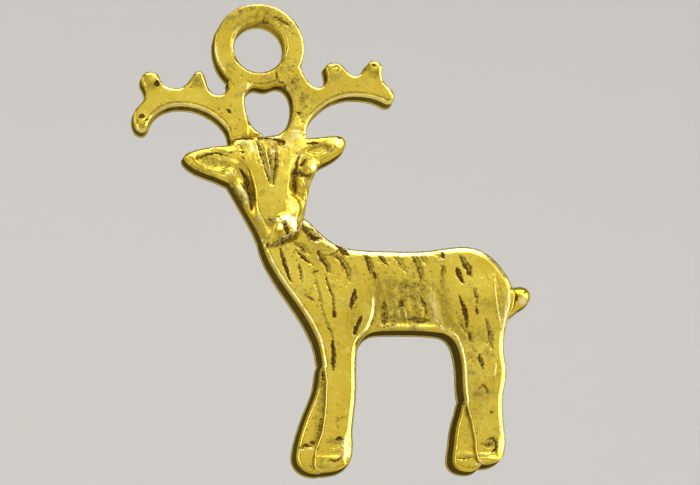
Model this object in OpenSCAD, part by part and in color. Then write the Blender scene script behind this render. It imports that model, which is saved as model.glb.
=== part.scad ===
// Cast reindeer charm: a flat-backed relief with a hanging ring.
// The body is in profile and the head looks out of the front face (-Y).
// The origin is the centre of the hole in the ring, +Z runs from the hooves
// to the ring, and the back is one flat plane.

/* [Charm] */
// Height from the hooves to the top of the ring
charm_h = 30; // [26:1:40]
// Diameter of the hole in the hanging ring
hole_d = 3.2; // [2.4:0.1:3.6]
// Thickness of the hanging ring
ring_t = 1.6; // [1.2:0.1:2]

/* [Relief] */
// Height of the antlers above the back
antler_t = 1.7; // [1.3:0.1:2.2]
// Height of the ears above the back
ear_t = 2.0; // [1.5:0.1:2.5]
// Height of the head above the back
head_t = 3.2; // [2.6:0.1:3.8]
// Height of the neck above the back
neck_t = 2.4; // [2:0.1:3]
// Height of the shoulder and the haunch above the back
muscle_t = 2.6; // [2.2:0.1:3.2]
// Height of the torso between them above the back
torso_t = 2.1; // [1.7:0.1:2.4]
// Height of the tail above the back
tail_t = 1.8; // [1.4:0.1:2.4]
// Height of the two near legs above the back
near_leg_t = 2.4; // [2:0.1:3]
// Height of the two far legs above the back
far_leg_t = 1.7; // [1.3:0.1:2]
// How far each hoof stands proud of its leg
hoof_step = 0.15; // [0:0.05:0.3]

/* [Detail] */
// Width of the step round the front edge
rim_w = 0.28; // [0.15:0.01:0.35]
// Depth of that step, and of the grooves and hollows cut into the front
detail_d = 0.4; // [0.2:0.05:0.5]
// Width of the hair grooves, as a share of the drawn width
groove_w = 1; // [0.6:0.1:1.5]

/* [Hidden] */

unit = charm_h / 30;      // the outlines below are drawn for a 30 mm charm
back_y = ring_t / 2;      // plane of the flat back
ring_r = 2.9 * unit;      // outside radius of the hanging ring
ring_steps = 96;
curve_steps = 4;          // chords between two outline points
gold = "goldenrod";

// ---------------------------------------------------------------- curves

// A smooth closed curve through the points p (Catmull-Rom).
function curve(p, n = curve_steps) =
    let (m = len(p))
    [for (i = [0 : m - 1], j = [0 : n - 1])
        let (a = p[(i + m - 1) % m], b = p[i], c = p[(i + 1) % m], d = p[(i + 2) % m], t = j / n)
        unit * (b + t * (c - a) / 2 + t * t * (a - 2.5 * b + 2 * c - d / 2)
            + t * t * t * (1.5 * b - a / 2 - 1.5 * c + d / 2))];

// A circle as chords, so that what it cuts shares its corners.
function ring_curve(r) =
    [for (i = [0 : ring_steps - 1]) r * [cos(360 * i / ring_steps), sin(360 * i / ring_steps)]];

// ---------------------------------------------------------------- outlines, x and z in mm

LEFT_ANTLER = [
    [-0.8, -1.9], [-1.9, -2.2], [-1.95, -2.6], [-2.12, -2.97], [-2.5, -3.15], [-2.95, -3.05],
    [-3.25, -2.7], [-3.4, -2.25], [-3.55, -1.85], [-3.8, -1.66], [-4.1, -1.8], [-4.35, -2.15],
    [-4.65, -2.55], [-5.0, -2.78], [-5.5, -2.8], [-5.9, -2.68], [-6.2, -2.45], [-6.3, -2.2],
    [-6.5, -1.92], [-6.85, -1.8], [-7.2, -1.87], [-7.45, -2.15], [-7.47, -2.5], [-7.3, -2.85],
    [-7.18, -3.2], [-7.25, -3.55], [-7.5, -3.9], [-7.8, -4.25], [-7.95, -4.7], [-7.92, -5.2],
    [-7.7, -5.6], [-7.35, -5.72], [-7.05, -5.5], [-6.9, -5.05], [-6.6, -4.6], [-6.1, -4.22],
    [-5.5, -4.0], [-4.8, -3.94], [-4.1, -4.02], [-3.4, -4.25], [-2.8, -4.6], [-2.3, -5.05],
    [-1.95, -5.55], [-1.8, -6.1], [-1.5, -6.6], [-0.8, -6.7], [0.1, -6.4], [0.3, -5.2],
    [0.1, -4.0], [-0.1, -2.8], [-0.2, -2.0]];

RIGHT_ANTLER = [
    [1.6, -1.3], [2.6, -1.2], [2.8, -1.5], [3.05, -1.95], [3.4, -2.33], [3.8, -2.48],
    [4.15, -2.35], [4.37, -2.0], [4.33, -1.55], [4.25, -1.2], [4.4, -0.95], [4.75, -0.83],
    [5.15, -0.88], [5.5, -1.13], [5.8, -1.45], [6.15, -1.63], [6.5, -1.52], [6.8, -1.18],
    [7.05, -0.78], [7.4, -0.6], [7.75, -0.72], [7.95, -1.05], [7.92, -1.5], [8.0, -1.9],
    [8.3, -2.25], [8.62, -2.6], [8.72, -3.0], [8.55, -3.35], [8.2, -3.42], [7.7, -3.2],
    [7.1, -3.03], [6.4, -2.97], [5.7, -3.0], [5.0, -3.2], [4.4, -3.5], [3.85, -3.95],
    [3.4, -4.45], [3.12, -5.0], [3.03, -5.5], [2.95, -6.1], [2.2, -6.4], [1.2, -6.1],
    [1.2, -5.0], [1.1, -3.6], [0.9, -2.2]];

// The opening between the ring, the two antlers and the head.
ANTLER_GAP = [
    [-0.35, -2.58], [0.4, -2.66], [1.15, -2.42], [1.72, -2.62], [2.08, -3.2], [2.17, -4.0],
    [1.98, -4.85], [1.5, -5.45], [0.8, -5.7], [0.15, -5.6], [-0.42, -5.1], [-0.75, -4.4],
    [-0.9, -3.6], [-0.8, -2.95]];

HEAD = [
    [-1.75, -6.25], [-0.9, -5.98], [0, -5.85], [0.8, -5.72], [1.6, -5.55], [2.3, -5.4],
    [2.9, -5.6], [3.05, -6.2], [3.25, -7.0], [3.72, -7.6], [3.6, -8.05], [3.4, -8.5],
    [3.25, -8.95], [3.15, -9.4], [3.06, -9.9], [2.98, -10.4], [2.9, -10.9], [2.75, -11.4],
    [2.55, -11.9], [2.2, -12.25], [1.8, -12.42], [1.4, -12.65], [1.0, -12.85], [0.6, -12.88],
    [0.25, -12.62], [0.05, -12.2], [-0.2, -11.7], [-0.5, -11.2], [-0.8, -10.7], [-1.1, -10.2],
    [-1.4, -9.7], [-1.7, -9.2], [-1.95, -8.75], [-2.0, -8.2], [-1.85, -7.5], [-1.8, -6.8]];

LEFT_EAR = [
    [-1.0, -6.35], [-1.9, -6.45], [-2.7, -6.55], [-3.5, -6.68], [-4.2, -6.88], [-4.65, -7.12],
    [-4.75, -7.38], [-4.5, -7.72], [-4.0, -8.05], [-3.4, -8.3], [-2.8, -8.5], [-2.2, -8.75],
    [-1.7, -8.9], [-1.2, -8.2], [-1.0, -7.2]];

RIGHT_EAR = [
    [2.5, -6.0], [3.2, -5.83], [3.9, -5.73], [4.6, -5.63], [5.15, -5.62], [5.5, -5.85],
    [5.55, -6.2], [5.35, -6.6], [4.95, -6.95], [4.5, -7.25], [4.05, -7.48], [3.5, -7.85],
    [2.9, -7.9], [2.5, -7.0]];

// Neck, shoulder, back, haunch and the two near legs in one line.
TRUNK = [
    [2.2, -10.3], [2.9, -11.0], [3.35, -11.4], [3.85, -11.9], [4.4, -12.35], [5.0, -12.7],
    [5.7, -12.9], [6.6, -12.98], [8.0, -13.0], [9.5, -13.0], [10.8, -12.92], [11.9, -12.75],
    [12.9, -12.63], [13.7, -12.68], [14.4, -12.93], [15.0, -13.35], [15.55, -13.95],
    [16.0, -14.65], [16.25, -15.3], [16.3, -15.9], [16.15, -16.6], [15.9, -17.3],
    [15.7, -18.1], [15.6, -18.9], [15.65, -19.6], [15.75, -20.3], [15.73, -21.0],
    [15.6, -21.7], [15.5, -22.5], [15.52, -23.4], [15.6, -24.3], [15.65, -25.1],
    [15.55, -25.75], [15.25, -26.15], [14.75, -26.4], [14.2, -26.45], [13.8, -26.2],
    [13.65, -25.6], [13.62, -25.0], [13.5, -24.3], [13.3, -23.4], [13.1, -22.6],
    [12.98, -21.7], [12.95, -20.8], [12.88, -20.0], [12.7, -19.2], [12.4, -18.6],
    [11.9, -18.22], [11.2, -18.1], [10.2, -18.05], [9.2, -18.05], [8.2, -18.08],
    [7.4, -18.15], [6.9, -18.35], [6.5, -18.75], [6.28, -19.3], [6.2, -20.0], [6.18, -21.0],
    [6.18, -22.0], [6.1, -22.9], [6.0, -23.8], [5.93, -24.6], [5.97, -25.3], [5.9, -26.0],
    [5.6, -26.5], [5.1, -26.85], [4.5, -27.0], [3.9, -27.02], [3.5, -26.75], [3.48, -26.1],
    [3.6, -25.5], [3.8, -25.0], [3.98, -24.4], [4.1, -23.6], [4.17, -22.8], [4.2, -22.0],
    [4.2, -21.3], [4.14, -20.75], [4.04, -20.2], [3.92, -19.5], [3.72, -18.8], [3.4, -18.1],
    [3.0, -17.4], [2.55, -16.7], [2.05, -16.0], [1.55, -15.3], [1.1, -14.6], [0.7, -13.9],
    [0.4, -13.2], [0.2, -12.5], [0.3, -11.8], [1.0, -10.8]];

FAR_FORELEG = [
    [4.6, -19.8], [3.98, -20.5], [3.85, -21.2], [3.7, -22.0], [3.4, -22.8], [3.08, -23.6],
    [2.8, -24.4], [2.6, -25.1], [2.48, -25.7], [2.45, -26.2], [2.6, -26.62], [3.0, -26.95],
    [3.5, -27.1], [4.0, -27.05], [4.4, -26.6], [4.6, -25.5], [4.9, -24.0], [5.1, -22.0],
    [5.1, -20.3]];

FAR_HINDLEG = [
    [13.6, -21.9], [13.05, -22.5], [12.85, -23.2], [12.63, -23.9], [12.5, -24.6],
    [12.42, -25.3], [12.33, -25.9], [12.35, -26.4], [12.6, -26.72], [13.1, -26.88],
    [13.6, -26.85], [14.0, -26.6], [14.3, -26.1], [14.4, -25.0], [14.2, -23.4]];

TAIL = [
    [15.6, -15.2], [16.3, -15.14], [16.8, -15.05], [17.25, -15.15], [17.5, -15.5],
    [17.45, -15.95], [17.1, -16.3], [16.7, -16.55], [16.35, -16.85], [15.9, -17.1],
    [15.3, -16.5]];

// Lines across the trunk that part it into its regions.
NECK_CELL = [[-1, -15], [0.8, -14.5], [3.2, -14.1], [5.2, -13.4], [6.4, -12], [6.4, -9], [-1, -9]];
TORSO_CELL = [[7.0, -12], [7.0, -14.3], [7.15, -15.2], [7.35, -16], [7.3, -16.8], [7.05, -17.7],
              [6.8, -19], [11.9, -19], [11.3, -17.2], [11.0, -16], [10.8, -14.5], [10.9, -12]];
FORELEG_CELL = [[2, -18.9], [5, -18.6], [7.2, -17.9], [8, -22], [6.5, -28], [2, -28]];
HINDLEG_CELL = [[11.5, -19.0], [14, -19.5], [17, -19.3], [17, -28], [11.5, -28]];
HOOF_CELL = [[2, -25.5], [9, -25.5], [17, -25.5], [17, -28], [2, -28]];

// ---------------------------------------------------------------- hollows and grooves

LEFT_EAR_HOLLOW = [
    [-4.1, -7.4], [-3.7, -7.15], [-3.1, -7.02], [-2.4, -7.05], [-2.15, -7.5], [-2.3, -8.0],
    [-2.9, -8.15], [-3.5, -7.95], [-3.95, -7.7]];

RIGHT_EAR_HOLLOW = [
    [3.35, -6.2], [3.9, -6.08], [4.5, -6.02], [4.82, -6.2], [4.6, -6.6], [4.2, -6.9],
    [3.8, -7.1], [3.5, -6.8]];

FOREHEAD_GROOVE = [
    [-0.1, -6.3], [0.5, -6.25], [1.0, -6.3], [1.05, -7.0], [0.98, -8.0], [0.82, -8.9],
    [0.6, -8.4], [0.25, -7.4]];

LEFT_EYE_HOLLOW = [
    [-1.5, -8.75], [-1.1, -8.2], [-0.72, -8.4], [-0.45, -9.1], [-0.3, -9.9], [-0.42, -10.5],
    [-0.75, -10.3], [-1.15, -9.6]];

RIGHT_EYE_HOLLOW = [
    [2.08, -7.9], [2.45, -7.45], [2.85, -7.7], [2.95, -8.4], [2.85, -9.2], [2.5, -9.9],
    [2.1, -9.6], [1.95, -8.8]];

// Left over as a bump in the middle of each eye hollow: x, z, width, height, tilt.
EYES = [[-0.95, -9.2, 0.4, 1.1, 28], [2.55, -8.8, 0.45, 0.8, 0]];

NOSTRILS = [[0.8, -11.25, 0.28, 0.45, 25], [1.9, -11.5, 0.35, 0.55, -15]];

// Hair grooves from one end to the other: x, z, x, z, width.
HAIR = [
    [1.37, -13.1, 2.0, -15.0, 0.28], [2.2, -13.0, 3.4, -14.0, 0.22], [3.7, -13.1, 4.4, -14.4, 0.26],
    [4.75, -13.3, 5.5, -14.8, 0.22], [4.9, -12.9, 5.6, -13.35, 0.3], [6.6, -13.4, 7.1, -14.1, 0.26],
    [3.1, -11.95, 3.7, -12.3, 0.34], [2.45, -14.3, 2.65, -15.2, 0.18], [3.4, -14.7, 3.9, -16.2, 0.2],
    [4.25, -14.7, 4.7, -17.2, 0.16], [6.05, -15.6, 5.75, -16.8, 0.34], [6.5, -17.1, 6.0, -18.4, 0.34],
    [4.0, -16.7, 4.15, -17.8, 0.16], [4.62, -18.9, 4.72, -20.6, 0.24],
    [7.6, -13.4, 8.1, -14.0, 0.22], [8.5, -13.4, 9.3, -14.4, 0.24], [9.6, -13.3, 10.2, -14.7, 0.22],
    [10.3, -13.3, 10.6, -13.8, 0.24], [11.15, -13.3, 11.8, -13.35, 0.4],
    [7.6, -15.2, 7.75, -17.6, 0.3], [8.25, -15.6, 8.4, -17.6, 0.22], [8.95, -15.5, 9.1, -17.4, 0.26],
    [9.6, -15.6, 9.7, -17.2, 0.2], [10.15, -15.3, 10.4, -17.2, 0.22], [10.4, -14.2, 10.5, -15.0, 0.18],
    [12.6, -14.1, 12.95, -15.0, 0.3], [12.85, -13.4, 13.5, -14.5, 0.26],
    [11.6, -14.1, 11.5, -15.4, 0.18], [12.75, -15.5, 13.2, -17.8, 0.24],
    [13.6, -15.4, 13.85, -16.9, 0.22], [14.4, -17.4, 14.8, -19.1, 0.24], [12.6, -17.3, 13.4, -18.6, 0.2],
    [14.95, -15.0, 15.15, -17.8, 0.18], [14.95, -20.2, 14.85, -20.9, 0.18],
    [14.0, -19.6, 14.15, -20.4, 0.18], [14.25, -21.65, 14.25, -22.95, 0.5]];

// The fold over each hoof, and the cleft of the two far ones.
FOLDS = [
    [4.3, -25.75, 5.3, -25.72, 0.2], [13.9, -25.8, 15.2, -25.75, 0.2],
    [2.8, -25.62, 3.5, -25.45, 0.18], [12.75, -26.0, 13.35, -26.1, 0.16]];

// ---------------------------------------------------------------- regions

module outline(points) polygon(curve(points));

module cell(points) polygon(unit * points);

module ring_disc() polygon(ring_curve(ring_r));

module trunk_region(inside, outside = []) {
    difference() {
        intersection() {
            outline(TRUNK);
            cell(inside);
        }
        outline(HEAD);
        for (c = outside) cell(c);
    }
}

module near_hoof_region(leg) intersection() {
    trunk_region(leg);
    cell(HOOF_CELL);
}

module far_leg_region(points) difference() {
    outline(points);
    outline(TRUNK);
}

module silhouette() difference() {
    union() {
        ring_disc();
        for (o = [LEFT_ANTLER, RIGHT_ANTLER, HEAD, LEFT_EAR, RIGHT_EAR, TRUNK,
                  FAR_FORELEG, FAR_HINDLEG, TAIL]) outline(o);
    }
    circle(d = hole_d, $fn = ring_steps);
    outline(ANTLER_GAP);
}

// An oval given as x, z, width, height, tilt.
module oval(o) translate(unit * [o[0], o[1]]) rotate(o[4]) scale(unit * [o[2], o[3]])
    circle(d = 1, $fn = 16);

// A groove given as x, z, x, z, width.
module groove(g) translate(unit * [g[0] + g[2], g[1] + g[3]] / 2)
    rotate(atan2(g[3] - g[1], g[2] - g[0]))
    scale(unit * [norm([g[2] - g[0], g[3] - g[1]]), g[4] * groove_w]) circle(d = 1, $fn = 12);

module marks() {
    difference() {
        union() {
            outline(LEFT_EYE_HOLLOW);
            outline(RIGHT_EYE_HOLLOW);
        }
        for (o = EYES) oval(o);
    }
    for (p = [LEFT_EAR_HOLLOW, RIGHT_EAR_HOLLOW, FOREHEAD_GROOVE]) outline(p);
    for (o = NOSTRILS) oval(o);
    for (g = concat(HAIR, FOLDS)) groove(g);
}

// A region of the charm, t high: the outermost detail_d is stepped in along the
// silhouette and cut by the grooves and hollows.
module relief(t) {
    color(gold)
    translate([0, back_y, 0]) rotate([90, 0, 0]) {
        linear_extrude(t - detail_d) children();
        translate([0, 0, t - detail_d]) linear_extrude(detail_d)
            difference() {
                intersection() {
                    children();
                    offset(delta = -rim_w) silhouette();
                }
                marks();
            }
    }
}

// ---------------------------------------------------------------- sub-parts

module hanging_ring() {
    color(gold)
    translate([0, back_y, 0]) rotate([90, 0, 0]) linear_extrude(ring_t) difference() {
        ring_disc();
        circle(d = hole_d, $fn = ring_steps);
        outline(ANTLER_GAP);
    }
}

module antler(points) relief(antler_t) difference() {
    outline(points);
    ring_disc();
    outline(HEAD);
    outline(ANTLER_GAP);
}

module left_antler() antler(LEFT_ANTLER);

module right_antler() antler(RIGHT_ANTLER);

module head() relief(head_t) outline(HEAD);

module left_ear() relief(ear_t) difference() {
    outline(LEFT_EAR);
    outline(HEAD);
    outline(LEFT_ANTLER);
}

module right_ear() relief(ear_t) difference() {
    outline(RIGHT_EAR);
    outline(HEAD);
    outline(RIGHT_ANTLER);
}

module neck() relief(neck_t) trunk_region(NECK_CELL);

module torso() relief(torso_t) trunk_region(TORSO_CELL);

module shoulder() relief(muscle_t) difference() {
    trunk_region([[-1, -9], [9, -9], [9, -20], [-1, -20]], [NECK_CELL, TORSO_CELL, FORELEG_CELL]);
}

module haunch() relief(muscle_t) trunk_region(
    [[9, -9], [18, -9], [18, -21], [9, -21]], [TORSO_CELL, HINDLEG_CELL]);

module tail() relief(tail_t) difference() {
    outline(TAIL);
    outline(TRUNK);
}

module near_foreleg() relief(near_leg_t) trunk_region(FORELEG_CELL, [TORSO_CELL, HOOF_CELL]);

module near_hindleg() relief(near_leg_t) trunk_region(HINDLEG_CELL, [TORSO_CELL, HOOF_CELL]);

module near_fore_hoof() relief(near_leg_t + hoof_step) near_hoof_region(FORELEG_CELL);

module near_hind_hoof() relief(near_leg_t + hoof_step) near_hoof_region(HINDLEG_CELL);

module far_leg(points) relief(far_leg_t) difference() {
    far_leg_region(points);
    cell(HOOF_CELL);
}

module far_hoof(points) relief(far_leg_t + hoof_step) intersection() {
    far_leg_region(points);
    cell(HOOF_CELL);
}

module far_foreleg() far_leg(FAR_FORELEG);

module far_hindleg() far_leg(FAR_HINDLEG);

module far_fore_hoof() far_hoof(FAR_FORELEG);

module far_hind_hoof() far_hoof(FAR_HINDLEG);

hanging_ring();
left_antler();
right_antler();
left_ear();
right_ear();
head();
neck();
shoulder();
torso();
haunch();
tail();
near_foreleg();
far_foreleg();
near_hindleg();
far_hindleg();
near_fore_hoof();
far_fore_hoof();
near_hind_hoof();
far_hind_hoof();
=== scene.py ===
"""Looks of a cast reindeer charm: one relief surface, cut into the charm's named regions.

All shaping is done in millimetres, with x to the right, z up and heights measured
from the flat back. Meshes are written in metres, in the frame of the CAD model.
"""
import math

import bpy
import numpy as np
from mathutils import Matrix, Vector, geometry, kdtree


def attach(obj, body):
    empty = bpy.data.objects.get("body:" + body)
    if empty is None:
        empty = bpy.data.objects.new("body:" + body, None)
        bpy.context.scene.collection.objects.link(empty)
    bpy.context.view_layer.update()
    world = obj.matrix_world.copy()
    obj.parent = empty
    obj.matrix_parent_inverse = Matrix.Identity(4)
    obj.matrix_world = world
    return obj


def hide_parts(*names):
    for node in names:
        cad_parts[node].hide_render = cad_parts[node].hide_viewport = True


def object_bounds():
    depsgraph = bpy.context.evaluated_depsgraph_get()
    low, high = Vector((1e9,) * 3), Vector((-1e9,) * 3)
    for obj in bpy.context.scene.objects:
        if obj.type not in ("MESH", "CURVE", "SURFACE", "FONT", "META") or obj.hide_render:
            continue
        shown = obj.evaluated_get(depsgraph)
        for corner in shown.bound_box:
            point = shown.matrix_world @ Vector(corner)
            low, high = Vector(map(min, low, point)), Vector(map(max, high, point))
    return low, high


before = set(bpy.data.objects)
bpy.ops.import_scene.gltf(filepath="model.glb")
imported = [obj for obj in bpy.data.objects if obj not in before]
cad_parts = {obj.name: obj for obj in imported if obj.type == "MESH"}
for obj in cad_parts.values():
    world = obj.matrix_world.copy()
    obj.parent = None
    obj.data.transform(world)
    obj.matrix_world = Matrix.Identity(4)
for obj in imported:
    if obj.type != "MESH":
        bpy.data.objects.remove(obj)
CAD_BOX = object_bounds()

MM = 1000.0                       # millimetres in a metre
BACK = CAD_BOX[1].y * MM          # the plane of the flat back
FAR = 99.0                        # a distance beyond every reach used here
ON_EDGE = 0.012                   # what is nearer than this to an edge or a plane is on it

# Regions in one layer share one smooth surface. A layer of higher rank lies over a lower one.
LAYERS = {
    "crown": (0, ["hanging_ring", "left_antler", "right_antler"]),
    "tail": (1, ["tail"]),
    "far_legs": (1, ["far_foreleg", "far_hindleg", "far_fore_hoof", "far_hind_hoof"]),
    "trunk": (2, ["neck", "shoulder", "torso", "haunch", "near_foreleg", "near_hindleg",
                  "near_fore_hoof", "near_hind_hoof"]),
    "skull": (3, ["head", "left_ear", "right_ear"]),
}
NODES = [n for _, members in LAYERS.values() for n in members]
LAYER_OF = {n: layer for layer, (_, members) in LAYERS.items() for n in members}
RANK = {n: LAYERS[LAYER_OF[n]][0] for n in NODES}

# ---------------------------------------------------------------- small maths


def smooth(t):
    """0 below t = 0, 1 above t = 1, and an S curve between."""
    t = np.clip(t, 0, 1)
    return t * t * (3 - 2 * t)


def band(d, at, width):
    """A soft line: 1 where d is at that value, and close to 0 beyond that width from it."""
    return np.exp(-((d - at) / width) ** 2)


def above(v, start, width):
    """0 up to the start, then rising to 1 over the width."""
    return smooth((v - start) / width)


def below(v, start, width):
    """1 far down, falling to 0 at the start over the width below it."""
    return smooth((start - v) / width)


def bump(x, z, centre, radii, tilt=0.0):
    """A soft mound, 1 at its centre. Tilt turns it anticlockwise, in degrees."""
    a = math.radians(tilt)
    u = (x - centre[0]) * math.cos(a) + (z - centre[1]) * math.sin(a)
    v = (z - centre[1]) * math.cos(a) - (x - centre[0]) * math.sin(a)
    return np.exp(-(u / radii[0]) ** 2 - (v / radii[1]) ** 2)


def bend(t, knots, values):
    """A smooth curve through the values at the knots."""
    knots, values = np.array(knots, float), np.array(values, float)
    slope = np.gradient(values, knots)
    t = np.clip(t, knots[0], knots[-1])
    i = np.clip(np.searchsorted(knots, t) - 1, 0, len(knots) - 2)
    width = knots[i + 1] - knots[i]
    u = (t - knots[i]) / width
    return (values[i] * (1 + 2 * u) * (1 - u) ** 2 + values[i + 1] * u * u * (3 - 2 * u)
            + width * (slope[i] * u * (1 - u) ** 2 - slope[i + 1] * u * u * (1 - u)))


def lattice(x, z, size, seed):
    """Smooth noise from -1 to 1 on a square lattice of that size."""
    gx, gz = x / size + 100, z / size + 100
    ix, iz = np.floor(gx).astype(np.int64), np.floor(gz).astype(np.int64)
    fx, fz = gx - ix, gz - iz
    fx, fz = fx * fx * (3 - 2 * fx), fz * fz * (3 - 2 * fz)

    def corner(i, j):
        h = (i * 374761393 + j * 668265263 + seed * 362437) & 0xFFFFFFFF
        h = ((h ^ (h >> 13)) * 1274126177) & 0xFFFFFFFF
        return ((h ^ (h >> 16)) & 0xFFFF) / 32767.5 - 1

    low = corner(ix, iz) * (1 - fx) + corner(ix + 1, iz) * fx
    high = corner(ix, iz + 1) * (1 - fx) + corner(ix + 1, iz + 1) * fx
    return low * (1 - fz) + high * fz


def noise(x, z, size, seed):
    """Smooth noise of about -1 to 1, with features about as wide as size. Two lattices at
    an angle to each other are added, so that no square pattern shows."""
    turned = lattice(0.66 * x - 0.75 * z, 0.75 * x + 0.66 * z, size, seed)
    tilted = lattice(0.96 * x + 0.28 * z, 0.96 * z - 0.28 * x, 0.83 * size, seed + 500)
    return 0.72 * (turned + tilted)


def along(x, z, path):
    """Distance to a path of points, and how far along it the nearest place is, from 0 to 1."""
    path = np.array(path, float)
    step = np.diff(path, axis=0)
    length = np.hypot(*step.T)
    before = np.concatenate([[0], np.cumsum(length)])
    best, place = np.full(len(x), 1e9), np.zeros(len(x))
    for i, (dx, dz) in enumerate(step):
        t = np.clip(((x - path[i, 0]) * dx + (z - path[i, 1]) * dz) / length[i] ** 2, 0, 1)
        r = np.hypot(x - path[i, 0] - t * dx, z - path[i, 1] - t * dz)
        closer = r < best
        best = np.where(closer, r, best)
        place = np.where(closer, (before[i] + t * length[i]) / before[-1], place)
    return best, place


def stroke(x, z, path, width, ragged=1.0):
    """A leaf-shaped cut along a path: 1 along its middle, and 0 at its sides and pointed ends."""
    lo, hi = np.min(path, 0) - width, np.max(path, 0) + width
    near = (x > lo[0]) & (x < hi[0]) & (z > lo[1]) & (z < hi[1])
    cut = np.zeros(len(x))
    if near.any():
        r, t = along(x[near], z[near], path)
        r = r * (1 + 0.35 * ragged * noise(x[near], z[near], 0.2, 9))
        r += 0.03 * ragged * noise(x[near], z[near], 0.1, 10)
        half = width / 2 * np.sin(np.pi * np.clip(t, 0.04, 0.96)) ** 0.6
        cut[near] = np.clip(1 - (r / half) ** 2, 0, 1)
    return cut


def blotch(x, z, centre, radii, tilt=0.0, seed=40):
    """A patch with a ragged outline: 1 inside, 0 outside."""
    reach = 2 * max(radii)
    near = (np.abs(x - centre[0]) < reach) & (np.abs(z - centre[1]) < reach)
    patch = np.zeros(len(x))
    u, v = 0.8 * x[near] - 0.6 * z[near], 0.6 * x[near] + 0.8 * z[near]
    ragged = 0.4 * noise(u, v, 0.42, seed) + 0.35 * noise(v, u, 0.19, seed + 1)
    ragged += 0.3 * noise(u, v, 0.09, seed + 2)
    patch[near] = smooth((1.15 * bump(x[near], z[near], centre, radii, tilt) + ragged - 0.4) / 0.7)
    return patch


def inside(px, pz, segments):
    """Whether each point is inside the outline that the segments make."""
    out = np.zeros(len(px), bool)
    if len(segments) == 0:
        return out
    (x1, z1), (x2, z2) = segments[:, 0].T, segments[:, 1].T
    lo, hi = segments.min((0, 1)), segments.max((0, 1))
    near = np.nonzero((px > lo[0]) & (px < hi[0]) & (pz > lo[1]) & (pz < hi[1]))[0]
    for part in np.array_split(near, len(near) * len(x1) // 4000000 + 1):
        qx, qz = px[part, None], pz[part, None]
        spans = (z1 > qz) != (z2 > qz)
        with np.errstate(divide="ignore", invalid="ignore"):
            cross = x1 + (qz - z1) * (x2 - x1) / (z2 - z1)
        out[part] = (spans & (cross > qx)).sum(1) % 2 == 1
    return out


def closest(points, samples):
    """For each point, the number of the nearest sample and the distance to it."""
    if len(samples) == 0:
        return np.zeros(len(points), int), np.full(len(points), FAR)
    tree = kdtree.KDTree(len(samples))
    for i, (x, z) in enumerate(samples):
        tree.insert((x, z, 0), i)
    tree.balance()
    found = [tree.find((x, z, 0)) for x, z in points]
    return np.array([f[1] for f in found]), np.array([f[2] for f in found])


def nearest(points, samples):
    """Distance from each point to the nearest sample."""
    return closest(points, samples)[1]


# ---------------------------------------------------------------- outlines of the CAD regions


def back_outline(node):
    """The edges of a region's flat back face, as segments in x and z."""
    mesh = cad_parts[node].data
    mesh.calc_loop_triangles()
    co = np.array([v.co for v in mesh.vertices]) * MM
    tris = np.array([t.vertices for t in mesh.loop_triangles])
    tris = tris[(co[tris][:, :, 1] > BACK - ON_EDGE).all(1)]
    keys, index = np.unique(np.round(co[:, [0, 2]], 4), axis=0, return_inverse=True)
    tris = index.reshape(-1)[tris]
    directed = {(t[i], t[(i + 1) % 3]) for t in tris.tolist() for i in range(3)}
    edges = [e for e in directed if (e[1], e[0]) not in directed]
    return keys[np.array(sorted(edges))]


OUTLINES = {n: back_outline(n) for n in NODES}


def node_at(px, pz):
    """The index of the region that each point is in, or -1."""
    found = np.full(len(px), -1)
    for i, n in enumerate(NODES):
        found[inside(px, pz, OUTLINES[n])] = i
    return found


TOUCH = 0.004         # an edge is split by points nearer to it than this
BESIDE = 0.008        # how far beside an edge to look for its regions
EDGE_STEP = 0.09      # longest edge along an outline
GRID = 0.066          # spacing of the points inside
RINGS = (0.025, 0.06, 0.105, 0.16)   # rows of points that follow an edge


def edge_map():
    """The outlines of all regions as one set of points and edges, with the region on each side."""
    ends = np.concatenate([OUTLINES[n] for n in NODES])
    points, index = np.unique(np.round(ends.reshape(-1, 2), 3), axis=0, return_inverse=True)
    index = index.reshape(-1, 2)
    edges = set()
    for a, b in index:
        if a == b:
            continue
        p, q = points[a], points[b]
        length = np.hypot(*(q - p))
        t = ((points - p) @ (q - p)) / length ** 2
        off = np.abs((points - p) @ np.array([-(q - p)[1], (q - p)[0]])) / length
        on = np.nonzero((off < TOUCH) & (t > 0) & (t < 1))[0]
        chain = [a, *on[np.argsort(t[on])], b]
        edges.update((min(e), max(e)) for e in zip(chain, chain[1:]) if e[0] != e[1])
    points = [tuple(p) for p in points]
    fine = []
    for a, b in sorted(edges):
        p, q = np.array(points[a]), np.array(points[b])
        count = max(1, math.ceil(np.hypot(*(q - p)) / EDGE_STEP))
        chain = [a]
        for k in range(1, count):
            points.append(tuple(p + (q - p) * k / count))
            chain.append(len(points) - 1)
        chain.append(b)
        fine.extend(zip(chain, chain[1:]))
    points, fine = np.array(points), np.array(fine)
    p, q = points[fine[:, 0]], points[fine[:, 1]]
    middle, run = (p + q) / 2, q - p
    left = np.stack([-run[:, 1], run[:, 0]], 1) / np.hypot(*run.T)[:, None]
    sides = [node_at(*(middle + s * BESIDE * left).T) for s in (1, -1)]
    return points, fine, middle, left, np.stack(sides, 1)


POINTS, EDGES, MIDDLES, LEFT, SIDES = edge_map()
RANKS = np.array([RANK[n] for n in NODES] + [-1])     # the last is for no region
LAYER_INDEX = {layer: i for i, layer in enumerate(LAYERS)}
LAYER_AT = np.array([LAYER_INDEX[LAYER_OF[n]] for n in NODES] + [-1])


def owned(side):
    """Edges whose region on this side has its own rounded edge there."""
    here, there = SIDES[:, side], SIDES[:, 1 - side]
    return (here >= 0) & (RANKS[here] > RANKS[there])


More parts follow.
